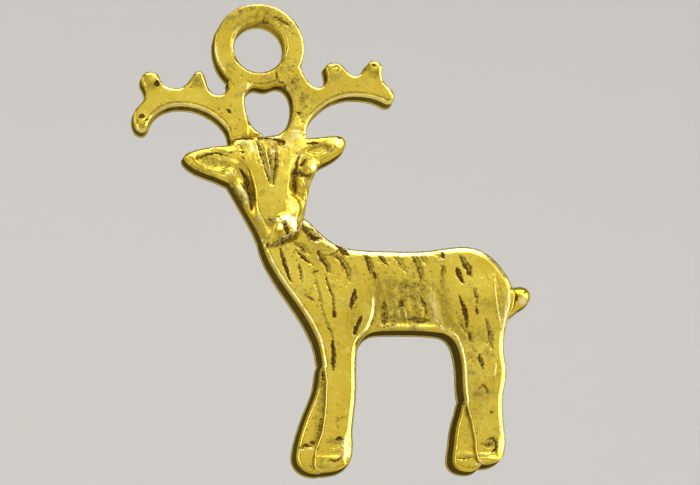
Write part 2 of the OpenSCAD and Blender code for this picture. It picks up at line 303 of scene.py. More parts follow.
def edge_samples(layer, kinds=("open", "step")):
    """Close points along a layer's edges of these kinds, and the way out of it at each. An
    open edge has nothing beyond it, at a step the layer beyond is lower, and at a seam the
    layer beyond is higher."""
    points, ways = [np.zeros((0, 2))], [np.zeros((0, 2))]
    for side, sign in ((0, 1), (1, -1)):
        here, there = SIDES[:, side], SIDES[:, 1 - side]
        kind = {"open": there < 0,
                "step": (there >= 0) & (RANKS[here] > RANKS[there]),
                "seam": (there >= 0) & (RANKS[here] < RANKS[there])}
        pick = (here >= 0) & (LAYER_AT[here] == LAYER_INDEX[layer])
        pick &= np.any([kind[k] for k in kinds], axis=0)
        p, q = POINTS[EDGES[pick, 0]], POINTS[EDGES[pick, 1]]
        for t in (0, 0.17, 0.33, 0.5, 0.67, 0.83):
            points.append(p + (q - p) * t)
            ways.append(-sign * LEFT[pick])
    return np.concatenate(points), np.concatenate(ways)


def triangulate():
    """One triangulation of the whole charm that keeps to every outline."""
    rings = []
    for side, sign in ((0, 1), (1, -1)):
        pick = owned(side)
        for r in RINGS:
            rings.append((MIDDLES[pick] + sign * r * LEFT[pick], r))
    anchors = np.concatenate([POINTS, MIDDLES])
    kept = [p[nearest(p, anchors) > 0.8 * r] for p, r in rings]
    lo, hi = POINTS.min(0), POINTS.max(0)
    rows = np.arange(lo[1], hi[1], GRID * math.sqrt(3) / 2)
    columns = np.arange(lo[0], hi[0], GRID)
    gx = columns[None, :] + (np.arange(len(rows)) % 2)[:, None] * GRID / 2
    gz = np.repeat(rows[:, None], len(columns), 1)
    grid = np.stack([gx.ravel(), gz.ravel()], 1)
    grid = grid[node_at(*grid.T) >= 0]
    own = np.concatenate([edge_samples(layer)[0] for layer in LAYERS])
    grid = grid[nearest(grid, own) > RINGS[-1] + 0.45 * GRID]
    grid = grid[nearest(grid, anchors) > 0.5 * GRID]
    coords = np.concatenate([POINTS, *kept, grid])
    corners = [Vector(c) for c in coords]
    made = geometry.delaunay_2d_cdt(corners, EDGES.tolist(), [], 0, 1e-5, False)
    flat, tris = np.array([v[:] for v in made[0]]), np.array(made[2])
    centre = flat[tris].mean(1)
    where = node_at(*centre.T)
    return flat, tris[where >= 0], where[where >= 0]


FLAT, TRIS, TRI_NODE = triangulate()

# ---------------------------------------------------------------- the relief


class Edges:
    """How far points lie from a layer's edges, and which way the nearest open edge faces."""

    def __init__(self, layer, points):
        outline, ways = edge_samples(layer, ["open"])
        index, self.open = closest(points, outline)
        self.right, self.up = ways[index].T
        self.step = nearest(points, edge_samples(layer, ["step"])[0])
        self.seam = nearest(points, edge_samples(layer, ["seam"])[0])


def round_edge(d, radius):
    """How far a rounded edge lies below its plateau at distance d from the outline."""
    t = np.clip(radius - d, 0, radius)
    return radius - np.sqrt(radius ** 2 - t ** 2)


def drop(d, radius, fall, reach):
    """A round edge of that radius, on a gentle fall that reaches further in."""
    return round_edge(d, radius) + fall * np.exp(-d / reach)


def bevel(d, radius, slope, width):
    """A round edge of that radius on a straight bevel, which fades out at its width."""
    fade = 0.12
    u = np.clip(width - d, 0, None)
    return round_edge(d, radius) + slope * np.where(u < fade, u * u / (2 * fade), u - fade / 2)


def lit(edge):
    """1 by edges that face up or right, as most of the light comes from there, else 0."""
    return smooth((edge.up + edge.right + 0.1) / 0.9)


def lean(x, z, h, patches):
    """Turns soft patches of a surface: centre, radii, tilt, slopes to the right and up."""
    for centre, radii, tilt, (right, up) in patches:
        level = h[np.argmin(np.hypot(x - centre[0], z - centre[1]))]
        plane = level - right * (x - centre[0]) - up * (z - centre[1])
        h = h + (plane - h) * smooth(2.2 * bump(x, z, centre, radii, tilt) - 0.45)
    return h


CUT_SHARE = 0.6       # how much of its listed depth a stroke is cut to


def carve(x, z, h, dark, cuts):
    """Cuts strokes into a surface. The film in a cut is darkest along its left side."""
    for path, width, depth, patina in cuts:
        groove = np.clip(1.5 * stroke(x, z, path, width), 0, 1)
        h = h - CUT_SHARE * depth * smooth(groove)
        fill = np.clip(2.0 * stroke(x, z, path, 1.4 * width), 0, 1)
        shifted = [(px - 0.26 * width, pz + 0.06 * width) for px, pz in path]
        rim = stroke(x, z, shifted, 0.7 * width)
        dark = np.maximum(dark, patina * np.maximum(0.88 * fill, 1.35 * rim ** 0.6))
    return h, dark


def swell(x, z, h, mounds):
    """Raises soft mounds: centre, radii, tilt, height."""
    for centre, radii, tilt, rise in mounds:
        h = h + rise * bump(x, z, centre, radii, tilt)
    return h


def hollow_out(x, z, h, dark, hollows):
    """Presses soft hollows into a surface: path, width, depth, how dark the film in it is."""
    for path, width, depth, patina in hollows:
        dip = stroke(x, z, path, width, ragged=0.4)
        h = h - depth * smooth(dip)
        dark = np.maximum(dark, patina * smooth(1.2 * dip))
    return h, dark


def raise_ridges(x, z, h, rub, ridges):
    """Raises thin ridges painted pale, as rubbed wear and as painted highlights: path, width, height, how
    bright they are painted.
    """
    for path, width, rise, wear_and_highlight in ridges:
        line = stroke(x, z, path, width, ragged=0.3)
        h = h + rise * line
        rub = np.maximum(rub, wear_and_highlight * line)
    return h, rub


# Marks cut into the body: path, width, depth, how dark the film in it is.
HAIR = [
    ([(1.35, -13.05), (1.5, -13.7), (1.72, -14.4), (1.98, -15.15)], 0.24, 0.12, 1.0),
    ([(2.3, -13.15), (2.75, -13.6), (3.35, -14.05)], 0.2, 0.1, 0.9),
    ([(2.3, -12.65), (2.75, -13.0), (3.15, -13.35)], 0.5, 0.07, 0.6),
    ([(3.72, -13.15), (3.95, -13.6), (4.3, -14.1), (4.4, -14.55)], 0.4, 0.1, 0.85),
    ([(4.65, -13.35), (5.2, -13.75), (5.6, -14.3), (5.72, -15.05)], 0.42, 0.09, 0.75),
    ([(6.55, -13.2), (6.9, -13.6), (7.05, -14.1), (7.1, -14.5)], 0.42, 0.1, 0.85),
    ([(7.5, -13.0), (7.75, -13.5), (8.12, -13.95)], 0.3, 0.1, 0.85),
    ([(8.45, -13.2), (8.9, -13.65), (9.35, -14.35)], 0.46, 0.08, 0.6),
    ([(9.45, -13.05), (9.9, -13.5), (10.25, -14.2), (10.4, -14.9)], 0.44, 0.09, 0.75),
    ([(10.3, -13.15), (10.6, -13.8)], 0.38, 0.07, 0.6),
    ([(12.58, -14.05), (12.68, -14.5), (12.9, -15.0)], 0.34, 0.13, 1.2),
    ([(12.85, -13.3), (13.15, -13.85), (13.5, -14.6)], 0.44, 0.1, 0.8),
    ([(13.2, -14.25), (13.45, -14.55)], 0.24, 0.08, 1.2),
    ([(11.5, -13.95), (11.75, -14.05), (11.6, -14.55)], 0.26, 0.06, 0.8),
    ([(11.62, -14.5), (11.6, -15.6)], 0.26, 0.05, 0.5),
    ([(13.6, -15.35), (13.75, -15.8), (13.85, -16.3)], 0.24, 0.08, 0.85),
    ([(13.75, -16.55), (13.82, -17.1)], 0.17, 0.07, 1.0),
    ([(12.68, -15.85), (12.95, -16.6), (13.1, -17.2), (13.17, -17.9)], 0.25, 0.11, 1.1),
    ([(12.6, -17.3), (12.9, -17.8), (13.3, -18.4)], 0.34, 0.07, 0.55),
    ([(13.35, -18.15), (13.45, -18.75)], 0.4, 0.08, 0.8),
    ([(14.4, -17.35), (14.6, -18.1), (14.75, -19.2)], 0.32, 0.09, 0.75),
    ([(6.08, -15.55), (5.95, -16.1), (5.75, -16.85)], 0.32, 0.12, 1.15),
    ([(6.5, -17.2), (6.25, -17.75), (5.92, -18.5)], 0.28, 0.12, 1.15),
    ([(3.42, -14.55), (3.6, -15.3), (3.85, -16.1), (3.95, -17.0)], 0.2, 0.05, 0.55),
    ([(4.15, -14.6), (4.3, -15.3), (4.6, -16.0), (4.68, -16.7), (4.74, -17.2)], 0.17, 0.07, 0.75),
    ([(4.72, -17.0), (4.72, -17.42)], 0.26, 0.1, 1.3),
    ([(2.5, -14.0), (2.6, -14.5), (2.68, -15.1)], 0.2, 0.07, 0.85),
    ([(2.85, -15.95), (3.15, -16.2), (3.5, -16.35)], 0.24, 0.06, 0.75),
    ([(4.0, -17.0), (4.2, -17.7), (4.5, -18.1)], 0.2, 0.05, 0.55),
    ([(4.2, -17.9), (4.5, -18.2), (4.65, -18.8)], 0.2, 0.06, 0.7),
    ([(3.3, -14.6), (3.5, -14.48), (3.8, -14.42)], 0.16, 0.05, 0.8),
    ([(3.8, -13.4), (4.4, -13.45), (5.0, -13.2)], 0.16, 0.05, 0.7),
    ([(4.6, -18.85), (4.68, -19.7), (4.68, -20.7)], 0.26, 0.12, 1.1),
    ([(13.95, -19.55), (14.02, -20.0), (14.15, -20.45)], 0.26, 0.08, 1.0),
    ([(15.12, -14.6), (15.2, -15.6), (15.32, -16.5), (15.5, -17.6)], 0.5, 0.07, 0.42),
    ([(15.1, -20.0), (15.12, -20.6), (15.0, -21.3)], 0.34, 0.06, 0.3),
]

# Soft hollows between the ribs: path, width, depth, how dark the film in it is.
RIB_HOLLOWS = [
    ([(7.52, -14.9), (7.58, -15.8), (7.58, -16.7)], 0.5, 0.03, 0.5),
    ([(7.95, -16.2), (7.97, -17.0), (7.93, -17.9)], 0.66, 0.05, 0.86),
    ([(8.57, -16.4), (8.6, -17.1), (8.6, -17.75)], 0.28, 0.04, 0.66),
    ([(9.05, -15.9), (9.22, -16.6), (9.47, -17.3), (9.52, -17.75)], 0.24, 0.05, 0.66),
    ([(8.95, -16.8), (9.0, -17.3), (9.22, -17.7)], 0.22, 0.04, 0.62),
    ([(9.5, -17.36), (10.1, -17.46), (10.8, -17.4)], 0.6, 0.05, 0.88),
    ([(10.2, -15.85), (10.52, -16.4), (10.6, -16.9), (10.45, -17.25)], 0.3, 0.06, 0.88),
    ([(11.0, -15.0), (10.9, -15.7), (10.95, -16.3)], 0.3, 0.03, 0.5),
]

# Hoof folds, the hollow below the hock and the pits that break the back line.
HOOF_MARKS = [
    ([(4.85, -25.05), (5.05, -24.92), (5.3, -25.0)], 0.26, 0.08, 1.0),
    ([(4.35, -26.33), (4.85, -26.36), (5.22, -26.05)], 0.17, 0.06, 0.8),
    ([(4.25, -25.25), (4.7, -25.2), (5.3, -25.3)], 0.34, 0.05, 0.4),
    ([(13.92, -21.75), (14.15, -21.5), (14.4, -21.72), (14.5, -22.1)], 0.17, 0.05, 0.75),
    ([(14.15, -25.2), (14.45, -25.3), (14.9, -25.2)], 0.5, 0.1, 0.6),
    ([(14.4, -24.95), (14.7, -24.82), (14.98, -25.05), (14.95, -25.5), (14.6, -25.78)], 0.2, 0.07, 0.9),
    ([(14.6, -23.15), (14.85, -23.25)], 0.2, 0.05, 0.8),
]
BACK_LINE_PITS = [
    ([(3.0, -11.7), (3.3, -12.15), (3.9, -12.35)], 0.72, 0.2, 0.85),
    ([(3.2, -12.35), (3.55, -12.42), (3.85, -12.3)], 0.24, 0.08, 1.3),
    ([(4.85, -12.6), (5.2, -13.0), (5.62, -13.38)], 0.36, 0.16, 1.3),
    ([(11.2, -13.2), (11.7, -13.25)], 0.5, 0.1, 0.6),
    ([(11.68, -13.0), (11.72, -13.5)], 0.2, 0.08, 1.3),
]

# Thin ridges painted pale, as rubbed wear and as painted highlights along the haunch's edges: path, width,
# height, brightness.
TRUNK_RIDGES = [
    ([(10.9, -15.4), (11.1, -16.4), (11.3, -17.2), (11.75, -17.95)], 0.6, 0.05, 0.62),
    ([(15.85, -15.3), (15.8, -16.2), (15.6, -17.1), (15.45, -18.2)], 0.34, 0.05, 1.1),
    ([(14.92, -14.5), (14.96, -15.6), (15.08, -16.4), (15.3, -17.8)], 0.2, 0.05, 0.7),
    ([(14.95, -20.0), (14.92, -20.6), (14.78, -21.05)], 0.15, 0.05, 0.8),
    ([(9.02, -16.3), (9.3, -17.0), (9.34, -17.6)], 0.16, 0.05, 0.7),
    ([(8.08, -16.5), (8.08, -17.1), (8.05, -17.7)], 0.1, 0.03, 0.5),
    ([(13.7, -25.78), (14.3, -25.86), (14.75, -25.74)], 0.18, 0.05, 0.8),
    ([(4.3, -25.6), (4.8, -25.66), (5.35, -25.5)], 0.2, 0.05, 0.5),
    ([(5.0, -13.62), (5.45, -14.0), (5.62, -14.5)], 0.1, 0.03, 0.5),
    ([(1.55, -13.1), (1.75, -13.8), (2.05, -14.9)], 0.12, 0.03, 0.7),
    ([(2.75, -14.2), (2.78, -15.0), (2.65, -15.8)], 0.14, 0.03, 0.5),
    ([(3.35, -12.6), (3.65, -12.66), (3.95, -12.55)], 0.2, 0.05, 1.0),
    ([(11.2, -13.62), (11.6, -13.6), (11.9, -13.4)], 0.16, 0.04, 1.0),
    ([(10.4, -13.95), (10.7, -14.0)], 0.14, 0.03, 0.9),
    ([(5.7, -13.55), (5.95, -13.5)], 0.2, 0.03, 0.8),
]

# Ragged patches of film: centre, radii, tilt, darkness. Those on the lower muzzle, which faces down, are
# painted shade, and the band on the torso beside the shoulder is patina with painted shade.
STAINS_AND_SHADE = [
    ((7.42, -16.5), (0.24, 1.7), 0, 0.5), ((7.9, -16.9), (0.3, 1.0), 0, 0.6),
    ((8.0, -15.2), (0.6, 0.6), 0, 0.55), ((9.2, -15.2), (1.3, 0.5), 0, 0.75),
    ((9.9, -17.2), (0.8, 0.55), 0, 0.6), ((10.5, -15.7), (0.5, 1.0), 0, 0.5),
    ((8.8, -16.8), (1.6, 1.2), 0, 0.42), ((7.32, -14.7), (0.3, 0.36), 0, 0.95),
    ((12.2, -16.8), (0.8, 0.6), 0, 0.42), ((14.3, -14.9), (0.5, 0.9), 0, 0.4),
    ((15.3, -16.0), (0.45, 1.5), -8, 0.45), ((2.6, -12.95), (0.6, 0.45), -30, 0.6),
    ((1.1, -12.75), (0.8, 0.3), 20, 0.9), ((4.9, -15.4), (0.8, 0.35), 20, 0.5),
    ((4.1, -12.95), (1.3, 0.35), 0, 0.5), ((2.6, -15.7), (0.5, 0.7), 30, 0.45),
    ((4.0, -17.1), (0.6, 0.7), 0, 0.4), ((13.4, -19.7), (0.8, 0.3), 0, 0.6),
    ((13.8, -18.4), (1.0, 0.9), 0, 0.45), ((13.8, -22.0), (0.7, 1.3), 0, 0.35),
    ((14.4, -25.2), (0.6, 0.4), 0, 0.5), ((4.7, -25.2), (0.7, 0.4), 0, 0.4),
    ((5.3, -19.2), (0.5, 0.3), 0, 0.4), ((5.15, -23.65), (0.6, 0.25), 0, 0.6),
    ((6.0, -14.4), (0.5, 0.6), 0, 0.45), ((3.2, -15.8), (0.5, 0.4), 0, 0.45),
    ((12.6, -18.1), (0.7, 0.5), -40, 0.5), ((13.3, -15.1), (0.4, 0.4), 0, 0.45),
    ((3.95, -21.3), (0.3, 0.8), -5, 0.65), ((3.75, -23.6), (0.3, 1.6), -8, 0.5),
    ((13.0, -24.4), (0.5, 1.2), 0, 0.3), ((3.5, -25.3), (0.3, 0.25), 0, 0.7),
    ((13.1, -26.0), (0.7, 0.3), 0, 0.5), ((3.9, -26.2), (0.3, 0.8), 0, 0.5),
    ((1.2, 1.85), (0.9, 0.28), -30, 0.75), ((0.0, 2.0), (1.3, 0.16), 0, 0.5),
    ((-2.1, 0.1), (0.6, 0.6), 0, 0.35), ((-1.8, -1.3), (0.5, 0.5), 0, 0.5),
    ((2.25, -2.1), (0.4, 0.5), 0, 0.7), ((2.6, -3.1), (0.6, 1.2), 20, 0.6),
    ((2.7, -4.5), (0.6, 0.5), 0, 0.7), ((0.4, -2.0), (1.3, 0.3), 0, 0.5),
    ((-1.95, -4.2), (0.22, 0.16), -40, 0.8), ((-1.4, -3.2), (0.9, 0.35), 10, 0.4),
    ((3.4, -3.2), (0.8, 0.6), 0, 0.45), ((-0.9, -5.75), (0.5, 0.2), 0, 0.4),
    ((-3.0, -7.7), (1.0, 0.5), -12, 0.5), ((-3.6, -8.1), (0.9, 0.2), -22, 0.5),
    ((3.9, -6.5), (0.9, 0.45), 15, 0.5), ((3.3, -6.2), (0.35, 0.16), 0, 0.8),
    ((2.6, -8.15), (0.5, 0.2), 0, 0.8), ((-0.85, -8.6), (0.35, 0.5), 25, 0.5),
    ((0.85, -11.9), (0.7, 0.6), 0, 0.5), ((1.0, -12.5), (0.7, 0.3), 15, 0.6),
    ((0.1, -9.6), (0.25, 0.3), 0, 0.5), ((-1.1, -7.35), (0.2, 0.12), -30, 0.9),
    ((-1.75, -7.0), (0.3, 0.14), 0, 0.7), ((-1.6, -7.85), (0.5, 0.4), 0, 0.4),
    ((1.2, -6.2), (0.3, 0.35), 0, 0.7), ((2.75, -11.3), (0.25, 0.45), 20, 0.9),
    ((0.6, -11.4), (0.32, 0.2), -20, 0.75), ((1.1, -10.1), (0.4, 0.3), 0, 0.3),
]

# Ragged patches painted pale: rubbed wear, and painted highlights on the muzzle, cheek, ear tip, brow and
# hind hoof: centre, radii, tilt, brightness.
RUBBED_AND_HIGHLIGHTS = [
    ((-0.95, -6.3), (0.85, 0.16), 3, 0.7), ((-0.35, -6.75), (0.5, 0.45), -40, 0.55),
    ((-1.3, -6.6), (0.4, 0.2), 0, 0.4), ((0.25, -7.7), (0.14, 1.0), 26, 0.5),
    ((1.05, -6.9), (0.4, 0.34), 0, 0.6), ((1.75, -6.3), (0.5, 0.5), 0, 0.6),
    ((0.7, -6.25), (0.3, 0.3), 0, 0.4), ((1.0, -5.87), (0.9, 0.12), 5, 0.7),
    ((2.25, -5.5), (0.6, 0.5), 30, 0.65), ((2.2, -4.95), (0.35, 0.3), 0, 0.5),
    ((-1.0, -9.75), (0.24, 0.9), 30, 0.7), ((2.75, -8.9), (0.28, 0.5), 0, 0.5),
    ((1.75, -11.25), (0.6, 0.36), 0, 1.1), ((5.15, -6.15), (0.35, 0.35), 0, 1.2),
    ((3.47, -7.65), (0.26, 0.42), 0, 1.2), ((1.24, -11.75), (0.2, 0.4), 0, 0.9),
    ((2.0, -10.45), (0.45, 0.5), 0, 0.6), ((2.08, -11.8), (0.2, 0.5), 0, 1.0),
    ((-0.05, -11.2), (0.2, 0.7), 20, 0.5), ((11.05, -16.4), (0.22, 0.8), 10, 0.3),
    ((11.35, -17.4), (0.4, 0.7), 14, 0.4), ((14.25, -22.5), (0.3, 1.0), 0, 0.3),
    ((2.0, -12.15), (0.9, 0.1), 25, 0.9), ((-1.9, -8.4), (0.25, 0.25), 0, 0.6),
    ((-3.75, -1.9), (0.3, 0.2), 0, 0.4), ((4.75, -1.5), (0.6, 0.25), 0, 0.4),
    ((3.7, -13.6), (0.1, 0.5), 0, 0.4), ((13.75, -26.4), (0.3, 0.25), 0, 0.9),
]

# The shoulder's rear edge and the haunch's front edge, as x at each height.
SHOULDER_Z = [-19.8, -19.0, -18.5, -18.1, -17.6, -16.9, -16.1, -14.8, -13.9, -12.5]
SHOULDER_X = [6.1, 6.15, 6.4, 6.8, 7.05, 7.25, 7.3, 7.15, 6.95, 6.9]
HAUNCH_Z = [-18.6, -17.4, -16.0, -14.5, -12.5]
HAUNCH_X = [11.9, 11.2, 10.9, 10.7, 10.6]

# The raised front of the face, as x of its left and right sides down from the crown.
FACE_DOWN = [5.5, 6.7, 7.0, 7.5, 8.0, 8.5, 9.0, 9.5, 10.5, 11.0, 11.5, 12.0, 12.6]
FACE_LEFT = [-3.0, -3.0, -2.1, -1.2, -0.76, -0.56, -0.42, -0.32, -0.27, -0.2, 0.0, 0.2, 0.4]
CHEEK_DOWN = [5.5, 6.3, 6.6, 7.0, 7.3, 7.6, 8.4, 9.3, 9.7, 9.9, 10.2, 10.6, 11.0, 11.6, 12.2]
FACE_RIGHT = [3.6, 3.4, 2.95, 2.38, 2.12, 2.02, 1.96, 1.95, 2.05, 2.18, 2.35, 2.48, 2.5, 2.35, 2.2]

# The knobs of the antlers and the thick ends where they meet the head: centre, radii, tilt, height.
CROWN_MOUNDS = [
    ((-6.85, -2.35), (0.5, 0.5), 0, 0.16), ((-3.8, -2.2), (0.4, 0.5), 0, 0.14),
    ((-7.45, -5.1), (0.4, 0.5), 0, 0.14), ((4.8, -1.45), (0.5, 0.5), 0, 0.14),
    ((7.4, -1.15), (0.45, 0.5), 0, 0.16), ((8.35, -3.0), (0.4, 0.4), 0, 0.14),
    ((-0.6, -5.6), (1.2, 0.8), 0, 0.16), ((2.3, -5.4), (0.9, 0.9), 0, 0.2),
]

# Cheekbones, brow, eyes, ear roots, muzzle, nostrils and ear tips, in the same way.
SKULL_MOUNDS = [
    ((-1.05, -9.6), (0.24, 0.85), 30, 0.42), ((2.72, -8.95), (0.27, 0.42), 0, 0.42),
    ((3.28, -7.98), (0.36, 0.42), -15, 0.3), ((3.3, -8.25), (0.14, 0.16), 0, 0.2),
    ((-1.85, -8.35), (0.26, 0.26), 0, 0.3), ((-1.7, -7.75), (0.4, 0.35), 0, 0.12),
    ((2.45, -10.4), (0.4, 0.5), 0, 0.1), ((1.35, -11.75), (1.0, 0.72), 20, 0.16),
    ((1.85, -12.1), (0.8, 1.0), 0, 0.42), ((1.28, -11.8), (0.16, 0.45), -12, 0.06),
    ((2.05, -11.75), (0.16, 0.45), 8, 0.06), ((4.95, -6.45), (0.45, 0.45), 0, 0.32),
    ((-4.45, -7.3), (0.3, 0.25), 0, 0.14),
]

# Slopes to the right and up. They turn a patch to the key light, half way to it, or to the
# light at the right.
TO_KEY = (0.2, 0.39)
HALF_TO_KEY = (0.1, 0.21)
TO_RIGHT = (0.58, 0.0)

# Worn patches: centre, radii, tilt, slopes.
SKULL_FACETS = [
    ((5.14, -6.2), (0.26, 0.42), -25, TO_KEY), ((3.42, -7.72), (0.24, 0.5), -12, TO_KEY),
    ((1.22, -11.75), (0.24, 0.5), -25, TO_KEY), ((1.68, -11.2), (0.6, 0.36), 10, TO_KEY),
    ((2.1, -11.6), (0.28, 0.7), 6, TO_KEY), ((2.0, -10.45), (0.55, 0.7), 0, HALF_TO_KEY),
]
HOOF_FACETS = [
    ((5.46, -25.5), (0.26, 1.2), -3, TO_RIGHT), ((15.22, -25.35), (0.25, 0.9), -6, TO_RIGHT),
]

# Heights of the plateaus above the back.
CROWN_TOP = 1.7
TAIL_TOP = 1.72
FAR_LEG_TOP = 2.1
BODY_TOP = 2.16
NECK_TOP = 2.34
LEG_TOP = 2.46

RING_FLAT = 1.87       # where the bevel round the hole meets the ring's flat face
RING_RIM = 2.36        # where the ring's outer bevel begins, over the gap
HOLE_UP = 0.13         # how far the bevel's centre lies above the hole's
CHIN = -10.9           # the height where the chin begins to part from the neck
V_TOP = -5.95          # the V on the forehead, from its top to its tip
V_TIP = -9.15
RIB_PITCH = 0.72       # from one rib to the next
BELLY_FOLD = -17.88    # the height of the fold along the belly
LEG_Z = -19.0          # the near legs begin below this
HOOF_Z = -25.9         # the tops of the near hooves
FAR_HOOF_Z = -25.5     # and of the far ones


# Each of these gives, at the points, the height above the back, how dark the film is and how
# bright the metal is rubbed.


def crown_relief(x, z, edge):
    r = np.hypot(x, z)
    antler = above(r, 2.9, 0.2)
    lower = antler * below(edge.up, -0.25, 0.4)
    bright = lit(edge)
    h = CROWN_TOP - bevel(edge.open, 0.13, 0.6, 0.16 + 0.1 * bright)
    # A bevel under the antlers, with a dark line along its top.
    h -= 0.06 * lower * below(edge.open, 0.21, 0.05)
    dark = 0.8 * lower * band(edge.open, 0.23, 0.045)
    # The bevel round the hole is wider at the top.
    hole = np.hypot(x, z - HOLE_UP)
    h -= 0.09 * below(hole, RING_FLAT, 0.06)
    # Painted shade: a dark line and a darker bevel in the hole's upper half, where the bevel faces down.
    dark += 0.55 * band(hole, RING_FLAT + 0.03, 0.045) * above(z, 0.6, 0.8)
    dark += 0.25 * below(hole, RING_FLAT, 0.06) * above(z, 0.4, 0.8)
    bridge = below(np.abs(x - 0.35), 1.15, 0.2) * below(z, -2.0, 0.1)
    h -= 0.12 * bridge * above(r, RING_RIM, 0.06)
    dark += 0.75 * bridge * band(r, RING_RIM, 0.05)
    h = swell(x, z, h, CROWN_MOUNDS)
    # The left antler is parted from the head by a line, and the right one runs into it.
    parted = below(x, 1.6, 0.5)
    h -= 0.07 * parted * band(edge.seam, 0, 0.13)
    broken = noise(x, z, 0.4, 3) > -0.35
    dark = np.maximum(dark, 0.8 * parted * band(edge.seam, 0, 0.1) * broken)
    h, dark = carve(x, z, h, dark, [
        ([(0.9, 1.98), (1.3, 1.85), (1.9, 1.45)], 0.26, 0.05, 0.9),
        ([(-6.45, -2.45), (-6.52, -2.8)], 0.34, 0.12, 1.3),
        ([(-7.35, -4.6), (-7.45, -4.92)], 0.28, 0.1, 1.2),
        ([(-7.0, -4.85), (-7.15, -5.05)], 0.2, 0.06, 0.9),
        ([(-3.75, -1.95), (-3.95, -2.35), (-4.35, -2.85)], 0.3, 0.08, 0.5),
        ([(4.7, -1.25), (4.95, -1.05), (5.15, -1.25), (5.0, -1.45)], 0.14, 0.05, 0.8),
        ([(7.25, -0.95), (7.5, -1.05)], 0.22, 0.07, 1.0),
        ([(-2.05, -4.1), (-1.85, -4.35)], 0.16, 0.07, 1.2),
        ([(1.1, -1.6), (1.12, -2.0)], 0.14, 0.05, 1.0),
        ([(1.2, -2.12), (1.6, -2.4), (1.95, -2.95)], 0.16, 0.06, 0.8),
        ([(2.45, -4.2), (2.65, -4.4)], 0.22, 0.06, 1.0)])
    # Ridges painted pale: rubbed wear, and painted highlights along the ring's outer edges.
    h, rub = raise_ridges(x, z, h, np.zeros(len(x)), [
        ([(-0.95, -2.95), (-0.75, -2.65), (-0.4, -2.35)], 0.3, 0.05, 1.0),
        ([(-1.6, 0.6), (-1.5, 1.0), (-1.2, 1.35)], 0.22, 0.03, 0.8),
        ([(2.85, -0.1), (2.75, -0.6), (2.6, -1.1)], 0.3, 0.02, 0.7),
        ([(-1.5, -1.0), (-0.9, -1.45), (0.0, -1.7), (0.9, -1.45)], 0.2, 0.03, 0.5),
        ([(-2.8, 0.3), (-2.74, -0.5), (-2.5, -1.2), (-2.15, -1.75)], 0.22, 0.03, 1.0),
        ([(-6.3, -2.55), (-6.0, -2.68)], 0.2, 0.04, 0.9)])
    # Painted highlights: pale gold on the edges that face the light and on the bevel under the antlers.
    rub = np.maximum(rub, 0.6 * bright * below(edge.open, 0.24, 0.08))
    rub = np.maximum(rub, 0.65 * lower * below(edge.open, 0.17, 0.05))
    return h, dark, rub


def tail_relief(x, z, edge):
    h = TAIL_TOP - drop(edge.open, 0.3, 0.25, 0.35) + 0.3 * bump(x, z, (16.8, -15.7), (0.45, 0.4))
    h -= 0.1 * band(edge.seam, 0, 0.2)
    dark = 0.8 * band(edge.seam, 0, 0.14)
    # Painted highlight on the tail's lower right.
    return h, dark, 1.1 * bump(x, z, (16.95, -16.0), (0.35, 0.25), 40)


def far_legs_relief(x, z, edge):
    h = FAR_LEG_TOP - bevel(edge.open, 0.2, 0.5, 0.2) - 0.06 * np.exp(-edge.open / 0.4)
    h += 0.07 * below(z, FAR_HOOF_Z, 0.4) - 0.05 * band(edge.seam, 0, 0.25)
    # Painted shade along the near legs, which stand over the far legs, most of it on the foreleg.
    shade = band(edge.seam, 0, 0.42) * above(z, FAR_HOOF_Z - 0.1, 0.6)
    dark = np.where(x < 8, 0.66, 0.42) * shade * smooth(noise(x, z, 0.7, 8) + 1.1)
    h, dark = carve(x, z, h, dark, [
        ([(2.55, -25.55), (3.0, -25.38), (3.45, -25.45)], 0.17, 0.05, 1.0),
        ([(3.35, -25.15), (3.6, -25.3)], 0.26, 0.07, 0.9),
        ([(12.4, -26.05), (12.9, -26.12), (13.5, -26.0)], 0.18, 0.08, 0.6),
        ([(3.98, -23.6), (3.9, -24.3), (3.72, -25.1)], 0.22, 0.05, 0.9),
        ([(4.05, -20.6), (4.08, -21.2), (4.1, -21.7)], 0.2, 0.05, 0.9),
        ([(13.05, -22.6), (13.2, -23.2), (13.3, -23.8)], 0.16, 0.06, 0.9)])
    h, rub = raise_ridges(x, z, h, np.zeros(len(x)), [
        ([(2.6, -25.68), (3.2, -25.6), (4.2, -25.62)], 0.24, 0.03, 0.7),
        ([(3.98, -21.4), (3.6, -22.7), (3.1, -24.2), (2.8, -25.3)], 0.3, 0.02, 0.4)])
    return h, dark, rub


